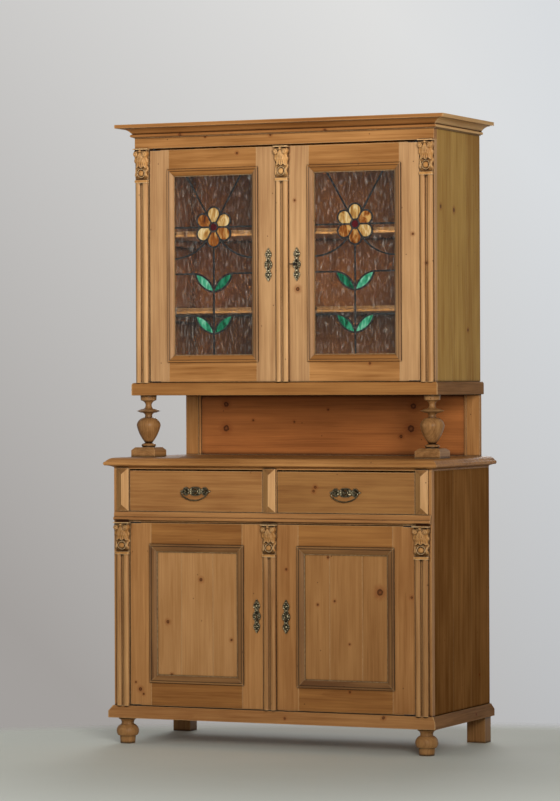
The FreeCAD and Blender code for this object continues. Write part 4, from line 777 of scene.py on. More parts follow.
# How far a facet must turn from the front to be painted in shade.
TURNED_AWAY = 0.3
WORKTOP_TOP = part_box("worktop")[1][2]

shelves = Joinery("shelves")
for triangles in solids_in("shelves"):
    shelf = whole_solid(triangles)
    low, high = bounds_of(triangles)
    behind = (0, low.y + SHELF_CHAMFER_DEEP_MM * MM, 0)
    bmesh.ops.bisect_plane(shelf, geom=shelf.verts[:] + shelf.edges[:] + shelf.faces[:], plane_co=behind,
                           plane_no=(0, 1, 0))
    for vert in [v for v in shelf.verts if v.co.z < low.z + WELD and v.co.y < low.y + WELD]:
        vert.co.z += SHELF_CHAMFER_HIGH_MM * MM
    shelves.add_solid(round_arrises(shelf, SHELF_ARRIS_MM))
shelves.build([shelf_pine])
print("shelf lip", round((high.z - low.z) / MM - SHELF_CHAMFER_HIGH_MM, 2), "mm")


def lozenge_facet(face):
    """Facets turned away from the window get painted shade; the end grain, which drinks the most wax, more."""
    if abs(face.normal.z) > TURNED_AWAY:
        return 2
    return int(face.normal.x < -TURNED_AWAY)


def in_base(board):
    """One for a board of the base and nought for one of the upper half."""
    return int(max(v.co.z for v in board.verts) < WORKTOP_TOP)


dress("lozenge_blocks", [lozenge_pine, lozenge_painted_shade, lozenge_end_grain_and_shade], "waxed_pine", LOZENGE_ARRIS_MM,
      lambda board: lozenge_facet)
dress("corner_pilasters", [reeded, base_reeded], "waxed_pine", REED_ARRIS_MM, in_base)

# %% [markdown]
# ## Doors and drawers
# Each door is a frame with upright stiles and level rails, so its boards carry grain both ways. The lower
# doors hold a panel of three boards behind a bold moulding, and the upper ones hold glass between beads. The
# panels and drawer fronts have their own pine, because they show the knots that one would look for in the
# picture. Wax gathers, and shade is painted, in the fine steps of a moulding, too fine for the occlusion node
# to find, so a mesh attribute marks them.

# %% Doors and drawers
SEAM_MM, QUIRK_MM, SEAM_WAX_AND_SHADE = 1.3, 8.0, 0.75
BOX_ARRIS_MM, BUTTON_ARRIS_MM = 1.0, 0.6


def mark_seam_wax_and_shade(piece, node):
    """Dark wax and painted shade along both edges of a framed moulding and in the quirk behind its bead."""
    low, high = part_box(node)
    insets = [min(v.co.x - low[0], high[0] - v.co.x, v.co.z - low[2], high[2] - v.co.z) / MM
              for v in piece.data.vertices]
    inner = max(insets)
    seams = piece.data.attributes.new("seam_wax_and_shade", "FLOAT", "POINT")
    for inset, seam_wax_and_shade in zip(insets, seams.data):
        near_line = min(inset, abs(inset - QUIRK_MM), max(0.0, inner - SEAM_MM - inset)) < SEAM_MM
        seam_wax_and_shade.value = SEAM_WAX_AND_SHADE * near_line


HALVES = {"left": (left_panel, left_drawer_pine), "right": (right_panel, right_drawer_pine)}
for side, (panel_pine, drawer_pine) in HALVES.items():
    # Each row is a node, its pines for level and upright boards, and its arris in mm.
    joinery = [
        (f"upper_{side}_door_frame", rail, stile, 0.6),
        (f"lower_{side}_door_frame", base_rail, base_stile, 0.6),
        (f"upper_{side}_glazing_beads", base_rail, bead, 0.5),
        (f"lower_{side}_panel_moulding", moulding, moulding, 0.5),
        (f"lower_{side}_panel", panel_pine, panel_pine, 0.8),
        (f"{side}_drawer_front", drawer_pine, drawer_pine, 1.6),
    ]
    for node, across, upwards, arris in joinery:
        piece = dress(node, [across, across, upwards], "waxed_pine", arris)
        if "moulding" in node or "beads" in node:
            mark_seam_wax_and_shade(piece, node)
    dress(f"{side}_drawer_box", [inner_pine] * 3, "inner_pine", BOX_ARRIS_MM)
    print(side, "door and drawer pieces", len(joinery) + 1)
for half in ("upper", "lower"):
    dress(f"{half}_left_turn_button", [turned] * 3, "waxed_pine", BUTTON_ARRIS_MM)

# %% [markdown]
# ## Carved corbels
# Above each pilaster sits a small bracket, carved with a fan of leaf over a round bud and a plain lip. It
# could be sculpted by hand, but one carved face used six times is easier to describe in numbers: a side
# profile gives how far the bracket stands out at each height, and a depth map cuts ribs, a bud and hollows
# into it. Rings of points stacked from the foot to the top make a closed solid, so the carving is real
# geometry and not a bump.

# %% Draw the carving
# The side profile: a share of the height from the foot, and how far out it stands as a share of the depth.
PROFILE = [(0, 0.52), (0.07, 0.52), (0.1, 0.46), (0.25, 0.66), (0.42, 0.56), (0.52, 0.6), (0.64, 0.8),
           (0.82, 1.0), (0.93, 0.95), (0.955, 0.82), (1, 0.82)]
DRAWN_HEIGHT, DRAWN_HALF = 111.0, 27.0
LIP_TOP, CAP_FOOT = 0.085, 0.965
GROUND_MM = 7.5
# Round buds: how far from the middle and above the foot they sit, and their radius, in mm.
BUD, VOLUTE, TIP = (0, 31, 10.5), (17, 93, 9.5), (0, 104, 6.0)
# A groove or ridge: where it lies, how wide it is and how deep or high.
CURL_AT, CURL_WIDE, CURL_DEEP = 4.2, 1.2, 2.2
COLLAR_AT, COLLAR_WIDE, COLLAR_HIGH = 3.4, 1.5, 3.4
BELL_FOOT, BELL_TOP, BELL_HALF, BELL_NECK, BELL_FLARE = 49.0, 99.0, 25.0, 4.0, 0.8
SCALLOP_DEEP, SCALLOP_WIDE, SCALLOP_ROUND = 2.6, 17.0, 2.2
DROOP_TOP, DROOP_MORE = 5.0, 2.0
VEINS, VEIN_WIDE, VEIN_DEEP = (0.0, 0.36, 0.7), 1.3, 1.8
FLANK_ACROSS, FLANK_UP, FLANK_LONG, FLANK_WIDE = 20, 31, 14.0, 5.0
FLANK_HIGH, FLANK_ROUND, FLANK_VEIN_DEEP, FLANK_VEIN_WIDE = 6.0, 0.45, 1.5, 1.1
FOOT_WIDTH, LOBES, LOBE_DEEP = 0.87, 4, 0.14


def profile_at(share):
    for (t0, d0), (t1, d1) in zip(PROFILE, PROFILE[1:]):
        if share <= t1:
            k = (share - t0) / (t1 - t0)
            k = k * k * (3 - 2 * k)
            return d0 + (d1 - d0) * k
    return PROFILE[-1][1]


def ball(x, z, spot):
    """How far a round bud stands up from the ground at a place."""
    off = math.hypot(x - spot[0], z - spot[1]) / spot[2]
    return math.sqrt(1 - off * off) * GROUND_MM if off < 1 else 0.0


def bell(x, z):
    """A drooping leaf, narrow at its top, with a scalloped foot that hangs over the bud."""
    scallop = SCALLOP_DEEP * math.cos(2 * math.pi * x / SCALLOP_WIDE)
    foot = BELL_FOOT - scallop
    if not foot < z < BELL_TOP:
        return 0.0
    down = (BELL_TOP - z) / (BELL_TOP - BELL_FOOT)
    half = BELL_NECK + (BELL_HALF - BELL_NECK) * down ** BELL_FLARE
    off = abs(x) / half
    if off >= 1:
        return 0.0
    veins = sum(VEIN_DEEP * math.exp(-((off - vein) * half / VEIN_WIDE) ** 2) for vein in VEINS)
    return ((DROOP_TOP + DROOP_MORE * down) * (1 - off ** 4) - veins) * min(1, (z - foot) / SCALLOP_ROUND)


def carving(x, z):
    """How deep the chisel goes, in mm, at x from the middle and z above the foot of the corbel."""
    x = abs(x)
    rise = max(ball(x, z, BUD), ball(x, z, TIP), bell(x, z))
    curl = math.hypot(x - VOLUTE[0], z - VOLUTE[1])
    rise = max(rise, ball(x, z, VOLUTE) - CURL_DEEP * math.exp(-((curl - CURL_AT) / CURL_WIDE) ** 2))
    collar = math.hypot(x - BUD[0], z - BUD[1]) - BUD[2] - COLLAR_AT
    rise = max(rise, COLLAR_HIGH * math.exp(-(collar / COLLAR_WIDE) ** 2) if z < BELL_FOOT else 0)
    aside = x - FLANK_ACROSS
    inside = 1 - ((z - FLANK_UP) / FLANK_LONG) ** 2 - (aside / FLANK_WIDE) ** 2
    if inside > 0:
        vein = FLANK_VEIN_DEEP * math.exp(-(aside / FLANK_VEIN_WIDE) ** 2)
        rise = max(rise, FLANK_HIGH * inside ** FLANK_ROUND - vein)
    return GROUND_MM - max(rise, 0)


def half_width(share):
    """The corbel's outline: a tapering width with lobes down each side."""
    taper = FOOT_WIDTH + (1 - FOOT_WIDTH) * share
    if share < LIP_TOP or share > CAP_FOOT:
        return taper
    lobes = 0.5 - 0.5 * math.cos(2 * math.pi * LOBES * (share - LIP_TOP) / (CAP_FOOT - LIP_TOP))
    return taper * (1 - LOBE_DEEP + LOBE_DEEP * lobes)


print("chisel depths", [round(carving(0, z), 1) for z in (20, 31, 60, 90)], "mm up the middle")

# %% [markdown]
# ## Cut the corbels
# The drawn carving is laid over a grid of points that is finer towards the sides, where the curve is tight.
# The carver eased the edges, so the cut deepens there. A subdivided cube could be pushed in instead, but
# rings keep the points where the carving needs them. The same skin of rings later makes the scrolls of the
# pulls.

# %% Cut the corbels
CORBEL_ROWS, CORBEL_COLUMNS = 112, 56
PLAIN_CUT, PLAIN_EASE, CARVED_EASE, EASE_POWER, LEAST_DEPTH = 0.4, 1.2, 3.0, 8, 1.5
CARVED_SMOOTH_DEGREES = 60


def skin(mesh, rings):
    """Makes a closed solid of rings of points that follow one another."""
    for lower, upper in zip(rings, rings[1:]):
        for i in range(len(lower)):
            j = (i + 1) % len(lower)
            mesh.faces.new((lower[i], lower[j], upper[j], upper[i]))
    mesh.faces.new(rings[0][::-1])
    mesh.faces.new(rings[-1])


def corbel_mesh(low, high):
    """A carved corbel that fills a box and stands out towards -Y."""
    mesh = bmesh.new()
    middle, half = (low.x + high.x) / 2, (high.x - low.x) / 2
    height, depth = (high.z - low.z) / MM, (high.y - low.y) / MM
    rings = []
    for row in range(CORBEL_ROWS + 1):
        share = row / CORBEL_ROWS
        plain = share < LIP_TOP or share > CAP_FOOT
        out = profile_at(share) * depth
        width = half_width(share) * half / MM
        up = low.z + share * height * MM
        ring = [mesh.verts.new((middle - width * MM, high.y, up))]
        for column in range(CORBEL_COLUMNS + 1):
            s = -math.cos(math.pi * column / CORBEL_COLUMNS)
            x = s * width
            cut = PLAIN_CUT if plain else carving(x * DRAWN_HALF / (half / MM), share * DRAWN_HEIGHT)
            cut += (PLAIN_EASE if plain else CARVED_EASE) * abs(s) ** EASE_POWER
            ring.append(mesh.verts.new((middle + x * MM, high.y - max(LEAST_DEPTH, out - cut) * MM, up)))
        ring.append(mesh.verts.new((middle + width * MM, high.y, up)))
        rings.append(ring)
    skin(mesh, rings)
    bmesh.ops.recalc_face_normals(mesh, faces=mesh.faces)
    return mesh


corner_corbels = Joinery("corner_corbels", "carved")
for triangles in solids_in("corner_corbels"):
    low, high = bounds_of(triangles)
    corner_corbels.add_solid(corbel_mesh(low, high), int(high.z < WORKTOP_TOP))
piece = corner_corbels.build([carved, base_carved], CARVED_SMOOTH_DEGREES)
print("corner corbels", len(piece.data.polygons), "faces")
for half, reed_pine, leaf_pine in (("upper", reeded, carved), ("lower", base_reeded, base_carved)):
    node = f"{half}_right_centre_pilaster"
    reeds, bracket = solids_in(node)
    centre = Joinery(node, "carved")
    centre.add_solid(round_arrises(whole_solid(reeds), REED_ARRIS_MM))
    centre.add_solid(corbel_mesh(*bounds_of(bracket)), 1)
    centre.build([reed_pine, leaf_pine], CARVED_SMOOTH_DEGREES)

# %% [markdown]
# ## Old metal
# The pulls and lock plates are cast brass that was bronzed dark and has been rubbed by hands since. The key,
# the locks and the pivots are forged iron, oiled and dull. A bare metal would be one bright colour. Here the
# dark patina stays in the hollows, and the same inward looking occlusion as on the wood bares the metal along
# the edges, partly as a painted highlight. Castings that stand proud of their plate are rubbed most and get a
# painted glint, and a mesh attribute tells how far they stand out.

# %% Metals
# Cast grit is about 0.2 mm across. It is drawn 1.8 mm across, as coarse as it needs to be to show.
GRIT_MM, PATCH_MM = 1.8, 9.0
EDGE_REACH, PATCH_REACH, PATCH_SHARE = (0.4, 0.95), (0.45, 0.75), 0.4
# Proud castings are worn pale and also get a painted glint.
PROUD_SHARE = 1.5
HOLLOW_REACH, HOLLOW_SHARE, HOLLOW_DIRT = (0.3, 0.9), 0.9, "#17130E"
METAL_POLISHED, METAL_DULL = 0.1, 0.15
GRIT_STRENGTH, GRIT_DEPTH_MM = 0.25, 0.15


def old_metal(name, dark, rubbed_and_highlight, roughness, edge_mm, edge_share):
    """A dark patina over metal, worn through at the edges and on proud castings, partly as a painted
    highlight.
    """
    material, tree = empty_material(name)
    place = add(tree, "TexCoord", out="Object")
    grit = add(tree, "TexNoise", {"Vector": place, "Scale": 1 / (GRIT_MM * MM), "Detail": 3.0})
    patch = add(tree, "TexNoise", {"Vector": place, "Scale": 1 / (PATCH_MM * MM), "Detail": 2.0})
    inward = add(tree, "AmbientOcclusion", {"Distance": edge_mm * MM}, out="AO", samples=8, inside=True)
    # Pale edges: wear, and partly a painted highlight.
    edge = add(tree, "MapRange", [inward, *EDGE_REACH, edge_share, 0])
    worn_and_highlit = add(tree, "MapRange", [patch, *PATCH_REACH, 0, PATCH_SHARE])
    worn_and_highlit = add(tree, "Math", [worn_and_highlit, edge], operation="MAXIMUM")
    proud = add(tree, "Attribute", out="Fac", attribute_name="proud")
    proud = add(tree, "Math", [proud, grit], operation="MULTIPLY")
    worn_and_highlit = add(tree, "Math", [proud, PROUD_SHARE, worn_and_highlit], operation="MULTIPLY_ADD", use_clamp=True)
    outward = add(tree, "AmbientOcclusion", {"Distance": 2 * edge_mm * MM}, out="AO", samples=8)
    hollow = add(tree, "MapRange", [outward, *HOLLOW_REACH, HOLLOW_SHARE, 0])
    colour = paint(dark)
    for share, layer in ((worn_and_highlit, rubbed_and_highlight), (hollow, HOLLOW_DIRT)):
        colour = add(tree, "Mix", {0: share, 6: colour, 7: paint(layer)}, out=2, data_type="RGBA")
    rough = add(tree, "MapRange", [grit, 0, 1, roughness - METAL_POLISHED, roughness + METAL_DULL])
    bump = add(tree, "Bump", {"Height": grit, "Strength": GRIT_STRENGTH, "Distance": GRIT_DEPTH_MM * MM})
    surface = add(tree, "BsdfPrincipled", {"Base Color": colour, "Metallic": 1.0, "Roughness": rough,
                                           "Normal": bump})
    add(tree, "OutputMaterial", {"Surface": surface}, out=None)
    return material


# Cast brass, bronzed: brown black with pale gold edges that are partly a painted highlight, and smooth
# enough to glint.
bronze = old_metal("bronzed_brass", "#433D31", "#D3C5A0", roughness=0.27, edge_mm=1.8, edge_share=0.9)
# The same on the base's lock plates: darker, with duller edges and less painted highlight.
dark_bronze = old_metal("dark_bronzed_brass", "#343027", "#B0A27F", roughness=0.3, edge_mm=1.8,
                        edge_share=0.7)
# Forged and oiled iron: a grey brown black with a broad, dull sheen.
iron = old_metal("forged_iron", "#3A3836", "#7B7874", roughness=0.5, edge_mm=1.2, edge_share=0.5)
# Drawn lead: soft blue grey that has gone dark in air, and nearly matt.
lead = old_metal("drawn_lead", "#403F3D", "#8A8885", roughness=0.48, edge_mm=0.6, edge_share=0.35)
print("metals", [m.name for m in (bronze, dark_bronze, iron, lead)])

# %% [markdown]
# ## Pulls, pivots, key and locks
# The plain castings and forgings already have their true shape in CAD, so they are kept: a weld joins their
# triangles, and a bevel catches the light along their edges. Modelling them again would gain nothing. The key
# is filed a little thinner than its solid, so that it turns in its keyhole without touching.

# %% Fit the plain metal pieces
KEY_WEAR_MM = 0.12


def finish_metal(node, material, slot, arris):
    """A CAD fitting whose shape is right stays, with a bevel and a metal on it."""
    fitting = frame["nodes"][node]
    fitting.data.materials.clear()
    fitting.data.materials.append(material)
    joined = fitting.modifiers.new("joined", "WELD")
    joined.merge_threshold = WELD
    if arris:
        rounded = fitting.modifiers.new("rounded", "BEVEL")
        rounded.width = arris * MM
        rounded.segments = 2
        rounded.limit_method = "ANGLE"
        rounded.angle_limit = math.radians(ARRIS_DEGREES)
        rounded.use_clamp_overlap = True


# Each row is a node, its metal, its slot and its arris in mm. The bails are round and have none.
fittings = [("upper_right_key", iron, "old_iron", 0.4), ("carcase_pivot_plates", iron, "old_iron", 0.2)]
for side in ("left", "right"):
    fittings.append((f"{side}_pull_plate", bronze, "bronzed_brass", 0.6))
    fittings.append((f"{side}_bail", bronze, "bronzed_brass", 0))
    fittings += [(f"{half}_{side}_pivot_plates", iron, "old_iron", 0.3) for half in ("upper", "lower")]
for half in ("upper", "lower"):
    fittings += [(f"{half}_right_lock_{part}", iron, "old_iron", 0.4) for part in ("case", "bolt")]
for row in fittings:
    finish_metal(*row)
worn_thin = frame["nodes"]["upper_right_key"].modifiers.new("worn_thin", "DISPLACE")
worn_thin.strength, worn_thin.mid_level = -KEY_WEAR_MM * MM, 0
print("metals on", sum(o.type == "MESH" and not o.hide_render for o in frame["nodes"].values()), "CAD nodes")

# %% [markdown]
# ## Relief on the pulls
# The plates of the pulls were cast with buds and small scrolls on them. A bump would look flat from the side,
# so each bud is a flattened ball half sunk in the plate, and each scroll a thinning ridge that curls inwards.
# Both are placed on the right half and mirrored, as the pattern maker did.

# %% Relief on the pulls
PROUD_MM = 4.0
FACES_FORWARD, DEPTH_STEP = -0.99, 0.1 * MM
BALL_SIDES, BALL_ROWS = 16, 10
SCROLL_STEPS, SCROLL_SIDES, SCROLL_CLOSES, SCROLL_THINS = 26, 8, 0.7, 0.5
# Each bud: x and z from the plate's middle, half its width and height, and how far it stands out, in mm.
PULL_BUDS = [(0, 6.5, 3.2, 3.6, 2.2), (0, -6.5, 3.2, 3.6, 2.2), (6.5, 0, 3.6, 3.2, 2.2),
             (4.6, 4.6, 2.6, 2.6, 1.9), (4.6, -4.6, 2.6, 2.6, 1.9), (20, 0, 5.6, 3.0, 2.2),
             (26, 4.6, 2.6, 2.6, 2.0), (26, -4.6, 2.6, 2.6, 2.0), (50, 0, 4.2, 2.4, 2.0)]
# Each scroll: x and z of its middle, its radius, the angle where it starts, its turns and its thickness.
PULL_SCROLLS = [(15, 6, 3.4, -120, 1.0, 1.2), (15, -6, 3.4, 120, -1.0, 1.2)]


def mark_proud(mesh, face):
    """Notes on each point how far it stands out from the face of its plate, where hands rub it and a glint is
    painted.
    """
    proud = mesh.verts.layers.float.new("proud")
    for vert in mesh.verts:
        vert[proud] = max(0.0, min(1.0, (face - vert.co.y) / (PROUD_MM * MM)))


def cast_bud(mesh, place, across, up, out):
    """A flattened ball, half sunk in the plate it was cast with."""
    size = Matrix.Diagonal((across * MM, out * MM, up * MM, 1))
    bmesh.ops.create_uvsphere(mesh, u_segments=BALL_SIDES, v_segments=BALL_ROWS, radius=1.0,
                              matrix=Matrix.Translation(Vector(place) * MM) @ size)


def cast_scroll(mesh, middle, radius, start, turns, thick):
    """A ridge that curls inwards and gets thinner."""
    rings = []
    for step in range(SCROLL_STEPS + 1):
        k = step / SCROLL_STEPS
        angle = math.radians(start + 360 * turns * k)
        reach, girth = radius * (1 - SCROLL_CLOSES * k), thick * (1 - SCROLL_THINS * k)
        out_way = Vector((math.cos(angle), 0, math.sin(angle)))
        centre = Vector(middle) + out_way * reach
        ring = []
        for side in range(SCROLL_SIDES):
            round_way = 2 * math.pi * side / SCROLL_SIDES
            off = out_way * math.cos(round_way) * girth + Vector((0, math.sin(round_way) * girth, 0))
            ring.append(mesh.verts.new((centre + off) * MM))
        rings.append(ring)
    skin(mesh, rings)


def plate_face(node):
    """Where the flat of a plate lies: the place in depth that holds the most of its area looking forward."""
    areas = {}
    for polygon in frame["nodes"][node].data.polygons:
        if polygon.normal.y < FACES_FORWARD:
            depth = round(polygon.center.y / DEPTH_STEP) * DEPTH_STEP
            areas[depth] = areas.get(depth, 0) + polygon.area
    return max(areas, key=areas.get)


def middle_of(node):
    """The middle of a fitting as one looks at it, at no depth."""
    low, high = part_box(node)
    return Vector(((low[0] + high[0]) / 2, 0, (low[2] + high[2]) / 2))


def cast_relief(node):
    """Raised ornament on the face of a pull plate."""
    middle = middle_of(node) / MM
    face = plate_face(node) / MM
    mesh = bmesh.new()
    for x, z, across, up, out in PULL_BUDS:
        for mirror in ((1, -1) if x else (1,)):
            cast_bud(mesh, (middle.x + x * mirror, face, middle.z + z), across, up, out)
    for x, z, radius, start, turns, thick in PULL_SCROLLS:
        cast_scroll(mesh, (middle.x + x, face, middle.z + z), radius, start, turns, thick)
        cast_scroll(mesh, (middle.x - x, face, middle.z + z), radius, 180 - start, -turns, thick)
    bmesh.ops.recalc_face_normals(mesh, faces=mesh.faces)
    mark_proud(mesh, face * MM)
    ornament = to_object(mesh, node + "_relief", bronze)
    ornament.data.polygons.foreach_set("use_smooth", [True] * len(ornament.data.polygons))
    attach(ornament, body_of(node))
    print(ornament.name, "stands on", round(face, 1), "mm")


for side in ("left", "right"):
    cast_relief(f"{side}_pull_plate")

# %% [markdown]
# ## Lock plates
# A lock plate is a tall casting with lobes stacked above and below its keyhole, a bead along its rim and
# knobs on its face. Cutting a keyhole with a boolean leaves long thin triangles that shade badly. So the
# plate is built of level rows from the keyhole outwards, finer towards the rim, once for each side, and the
# two halves are joined.

# %% Lock plates
LOCK_HALF_HEIGHT, LOCK_THICK, LOCK_TIP = 56.0, 1.8, 1.3
# Each lobe of a lock plate: how far above and below the middle it sits, and its radius, in mm.
LOCK_LOBES = [(0, 15.0), (17, 8.0), (25, 7.0), (34, 12.5), (44, 7.5), (51, 4.2)]
# Each knob: how far aside and above or below the middle it sits, its radius and its height, in mm.
LOCK_KNOBS = [(0, 34, 5.0, 3.6), (0, 47.5, 3.2, 2.8), (9.6, 8.0, 3.6, 3.0), (11.0, 0, 3.0, 2.6),
              (0, 20.5, 4.2, 3.2), (8.0, 34, 2.6, 2.4), (5.4, 41.5, 2.4, 2.2), (5.4, 26.5, 2.4, 2.2)]
RIM_AT, RIM_WIDE, RIM_HIGH = 1.6, 0.9, 1.0
KEY_RING_AT, KEY_RING_WIDE, KEY_RING_HIGH = 6.0, 1.2, 2.0
EDGE_SHARE, EDGE_ROUND = 0.4, 0.8
KEYHOLE_RADIUS, KEYHOLE_SLOT, KEYHOLE_DROP = 2.75, 1.85, 10.4
LOCK_ROWS, LOCK_COLUMNS, FINER_OUTWARDS, LOCK_SMOOTH_DEGREES = 160, 16, 1.5, 65
ROW_SHARES = [1 - (1 - i / LOCK_COLUMNS) ** FINER_OUTWARDS for i in range(LOCK_COLUMNS + 1)]


def lock_half_width(z):
    """The outline of a lock plate: lobes stacked above and below the keyhole."""
    lobes = [math.sqrt(radius ** 2 - (abs(z) - up) ** 2)
             for up, radius in LOCK_LOBES if abs(abs(z) - up) < radius]
    return max(lobes + [LOCK_TIP])


def keyhole_half_width(z):
    barrel = math.sqrt(KEYHOLE_RADIUS ** 2 - z ** 2) if abs(z) < KEYHOLE_RADIUS else 0
    return max(barrel, KEYHOLE_SLOT if -KEYHOLE_DROP < z < 0 else 0)


def lock_rise(x, z, from_rim):
    """How far the cast face stands out: knobs, a ring round the keyhole and a bead along the rim."""
    rise = LOCK_THICK + RIM_HIGH * math.exp(-((from_rim - RIM_AT) / RIM_WIDE) ** 2)
    ring = KEY_RING_HIGH * math.exp(-((math.hypot(x, z) - KEY_RING_AT) / KEY_RING_WIDE) ** 2)
    rise = max(rise, LOCK_THICK + ring)
    for across, up, radius, height in LOCK_KNOBS:
        off = math.hypot(x - across, abs(z) - up) / radius
        if off < 1:
            rise = max(rise, LOCK_THICK + height * math.sqrt(1 - off * off))
    return rise * (EDGE_SHARE + (1 - EDGE_SHARE) * min(1, from_rim / EDGE_ROUND))


def lock_plate(node):
    """A lobed cast plate, built as two mirrored halves of level rows, in place of the plain CAD plate."""
    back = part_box(node)[1][1]
    middle = middle_of(node)
    middle.y = back
    mesh = bmesh.new()
    for mirror in (-1, 1):
        rows = []
        for number in range(LOCK_ROWS + 1):
            z = LOCK_HALF_HEIGHT * (2 * number / LOCK_ROWS - 1)
            inner, outer = keyhole_half_width(z), lock_half_width(z)
            across = [inner + (outer - inner) * share for share in ROW_SHARES]
            places = [(x, lock_rise(x, z, outer - x), z) for x in across] + [(outer, 0, z), (inner, 0, z)]
            verts = [mesh.verts.new(middle + Vector((x * mirror, -out, up)) * MM) for x, out, up in places]
            rows.append((inner, verts))
        for (inner, below), (inner_next, above) in zip(rows, rows[1:]):
            sides = len(below) if inner or inner_next else len(below) - 1
            for i in range(sides):
                j = (i + 1) % len(below)
                mesh.faces.new((below[i], below[j], above[j], above[i]))
        mesh.faces.new(rows[0][1])
        mesh.faces.new(rows[-1][1])
    bmesh.ops.remove_doubles(mesh, verts=mesh.verts, dist=WELD)
    bmesh.ops.recalc_face_normals(mesh, faces=mesh.faces)
    mark_proud(mesh, back - LOCK_THICK * MM)
    plate = to_object(mesh, node + "_cast", dark_bronze if middle.z < WORKTOP_TOP else bronze)
    plate.data.polygons.foreach_set("use_smooth", [True] * len(plate.data.polygons))
    plate.data.set_sharp_from_angle(angle=math.radians(LOCK_SMOOTH_DEGREES))
    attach(plate, body_of(node))
    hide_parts(node)
    print(plate.name, len(plate.data.polygons), "faces")


for half in ("upper", "lower"):
    for side in ("left", "right"):
        lock_plate(f"{half}_{side}_escutcheon")

# %% [markdown]
# ## Rolled glass
# The panes are hand-rolled glass: the clear pieces ripple and bend what is behind them, and the coloured ones
# are streaky and half opaque, so they glow in front of a dark cupboard. Glass that lamps can't pass would
# leave the shelves black, because Cycles finds lamps poorly through refraction. So for shadow rays only, the
# glass is a clear tint.

# %% Glass
STREAKS_MM = (16, 16, 46)
TINT_FROM, TINT_SPAN = 0.3, 0.4
MILKY_AND_REFLECTION_REACH = (0.56, 0.8)
GLASS_IOR = 1.52


def rolled_glass(name, tints, see_through, ripple_mm, ripple_height, roughness, haze_and_reflection=0.0):
    """Rolled glass with streaks that run up the pane. Its tints go from the darkest to the lightest."""
    material, tree = empty_material(name)
    place = add(tree, "TexCoord", out="Object")
    drawn = add(tree, "VectorMath", [place, per_mm(ripple_mm)], operation="MULTIPLY")
    ripple = add(tree, "TexNoise", {"Vector": drawn, "Scale": 1.0, "Detail": 2.0, "Distortion": 0.6})
    loose = add(tree, "VectorMath", [place, per_mm(STREAKS_MM)], operation="MULTIPLY")
    streak = add(tree, "TexNoise", {"Vector": loose, "Scale": 1.0, "Detail": 2.5, "Distortion": 1.2})
    tint = add(tree, "ValToRGB", {"Fac": streak})
    stops = tint.node.color_ramp.elements
    while len(stops) < len(tints):
        stops.new(MIDDLE)
    for number, code in enumerate(tints):
        stops[number].position = TINT_FROM + TINT_SPAN * number / (len(tints) - 1)
        stops[number].color = paint(code)
    # The milky bloom is partly a painted reflection: less light passes the ripple crests.
    if haze_and_reflection:
        see_through = add(tree, "MapRange", [ripple, *MILKY_AND_REFLECTION_REACH, see_through, see_through - haze_and_reflection])
    bump = add(tree, "Bump", {"Height": ripple, "Strength": 1.0, "Distance": ripple_height * MM})
    glass = add(tree, "BsdfPrincipled", {"Base Color": tint, "Roughness": roughness, "IOR": GLASS_IOR,
                                         "Transmission Weight": see_through, "Normal": bump})
    clear = add(tree, "BsdfTransparent", {"Color": tint})
    shadow = add(tree, "LightPath", out="Is Shadow Ray")
    both = add(tree, "MixShader", [shadow, glass, clear])
    add(tree, "OutputMaterial", {"Surface": both}, out=None)
    return material


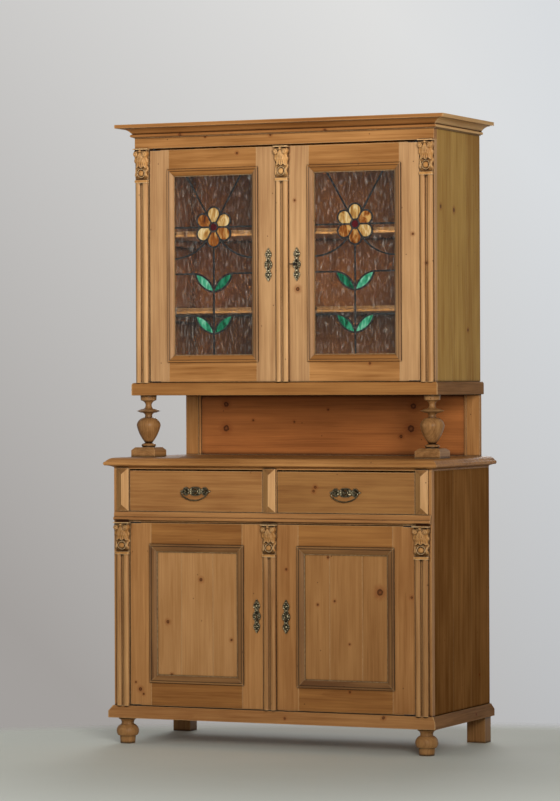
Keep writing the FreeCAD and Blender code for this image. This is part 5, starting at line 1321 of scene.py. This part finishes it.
COLOURED = {"see_through": 0.3, "ripple_mm": (9, 9, 20), "ripple_height": 0.8, "roughness": 0.12}
PANE_GLASS = [
    # Clear glass with ripples that bend what is behind it, and a milky bloom on their crests, partly a painted
    # reflection.
    rolled_glass("rippled_clear_glass", ["#DAD5CC", "#F4F0E8"], see_through=1.0, ripple_mm=(7, 7, 26),
                 ripple_height=0.5, roughness=0.02, haze_and_reflection=0.2),
    # Opalescent glass: its streaks of colour hold most of the light, so it glows.
    rolled_glass("streaky_amber_glass", ["#5E2E0C", "#9C5A1E", "#D9B068"], **COLOURED),
    rolled_glass("streaky_cream_glass", ["#9C6A2C", "#C9A460", "#EBDAAA"], **COLOURED),
    rolled_glass("streaky_dark_green_glass", ["#0B3B2A", "#14724F", "#3FA37C"], **COLOURED),
    rolled_glass("streaky_light_green_glass", ["#1A7A55", "#4DB08A", "#A3DCC0"], **COLOURED),
    # Ruby glass is clearer than the others, and so deep that it looks almost black.
    rolled_glass("ruby_glass", ["#4A0A12", "#7A1620"], **{**COLOURED, "see_through": 0.5, "roughness": 0.1}),
]
CLEAR, AMBER, CREAM, DARK_GREEN, LIGHT_GREEN, RUBY = range(len(PANE_GLASS))
print("kinds of glass", len(PANE_GLASS))

# %% [markdown]
# ## Leaded panes
# In each upper door, pieces of glass are held by a net of lead. Their colours could be listed by hand, but
# where a piece lies already tells what it is: a rosette of six petals round a heart, over two pairs of leaves
# in two greens. What touches the edge or is large is clear. The lead keeps its drawn form, with its arrises
# softened.

# %% Leaded panes
PANE_EDGE_MM, LARGE_MM, HEART_MM = 3, 85, 32
CAME_ARRIS_MM, CAME_DEGREES = 0.3, 60


def glass_for(low, high, pane_low, pane_high, petals):
    """Which glass a piece gets. Petals take amber and cream in turn, and inner leaves the darker green."""
    margin = PANE_EDGE_MM * MM
    touching = any(low[i] < pane_low[i] + margin or high[i] > pane_high[i] - margin for i in (0, 2))
    span = max(high.x - low.x, high.z - low.z) / MM
    middle, pane_middle = (low + high) / 2, (pane_low + pane_high) / 2
    if touching or span > LARGE_MM:
        return CLEAR
    if middle.z < pane_middle.z:
        return DARK_GREEN if (middle.x - pane_middle.x) * middle.x < 0 else LIGHT_GREEN
    if span < HEART_MM:
        return RUBY
    return CREAM if petals % 2 else AMBER


for side in ("left", "right"):
    node = f"upper_{side}_glass"
    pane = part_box(node)
    panes = Joinery(node, "rolled")
    used = []
    for triangles in solids_in(node):
        petals = used.count(AMBER) + used.count(CREAM)
        used.append(glass_for(*bounds_of(triangles), *pane, petals))
        panes.add_solid(whole_solid(triangles), used[-1])
    panes.build(PANE_GLASS)
    print(node, {PANE_GLASS[kind].name: used.count(kind) for kind in sorted(set(used))})
    came = Joinery(f"upper_{side}_lead_cames", "drawn")
    for triangles in solids_in(came.node):
        came.add_solid(round_arrises(whole_solid(triangles), CAME_ARRIS_MM, CAME_DEGREES))
    came.build([lead])
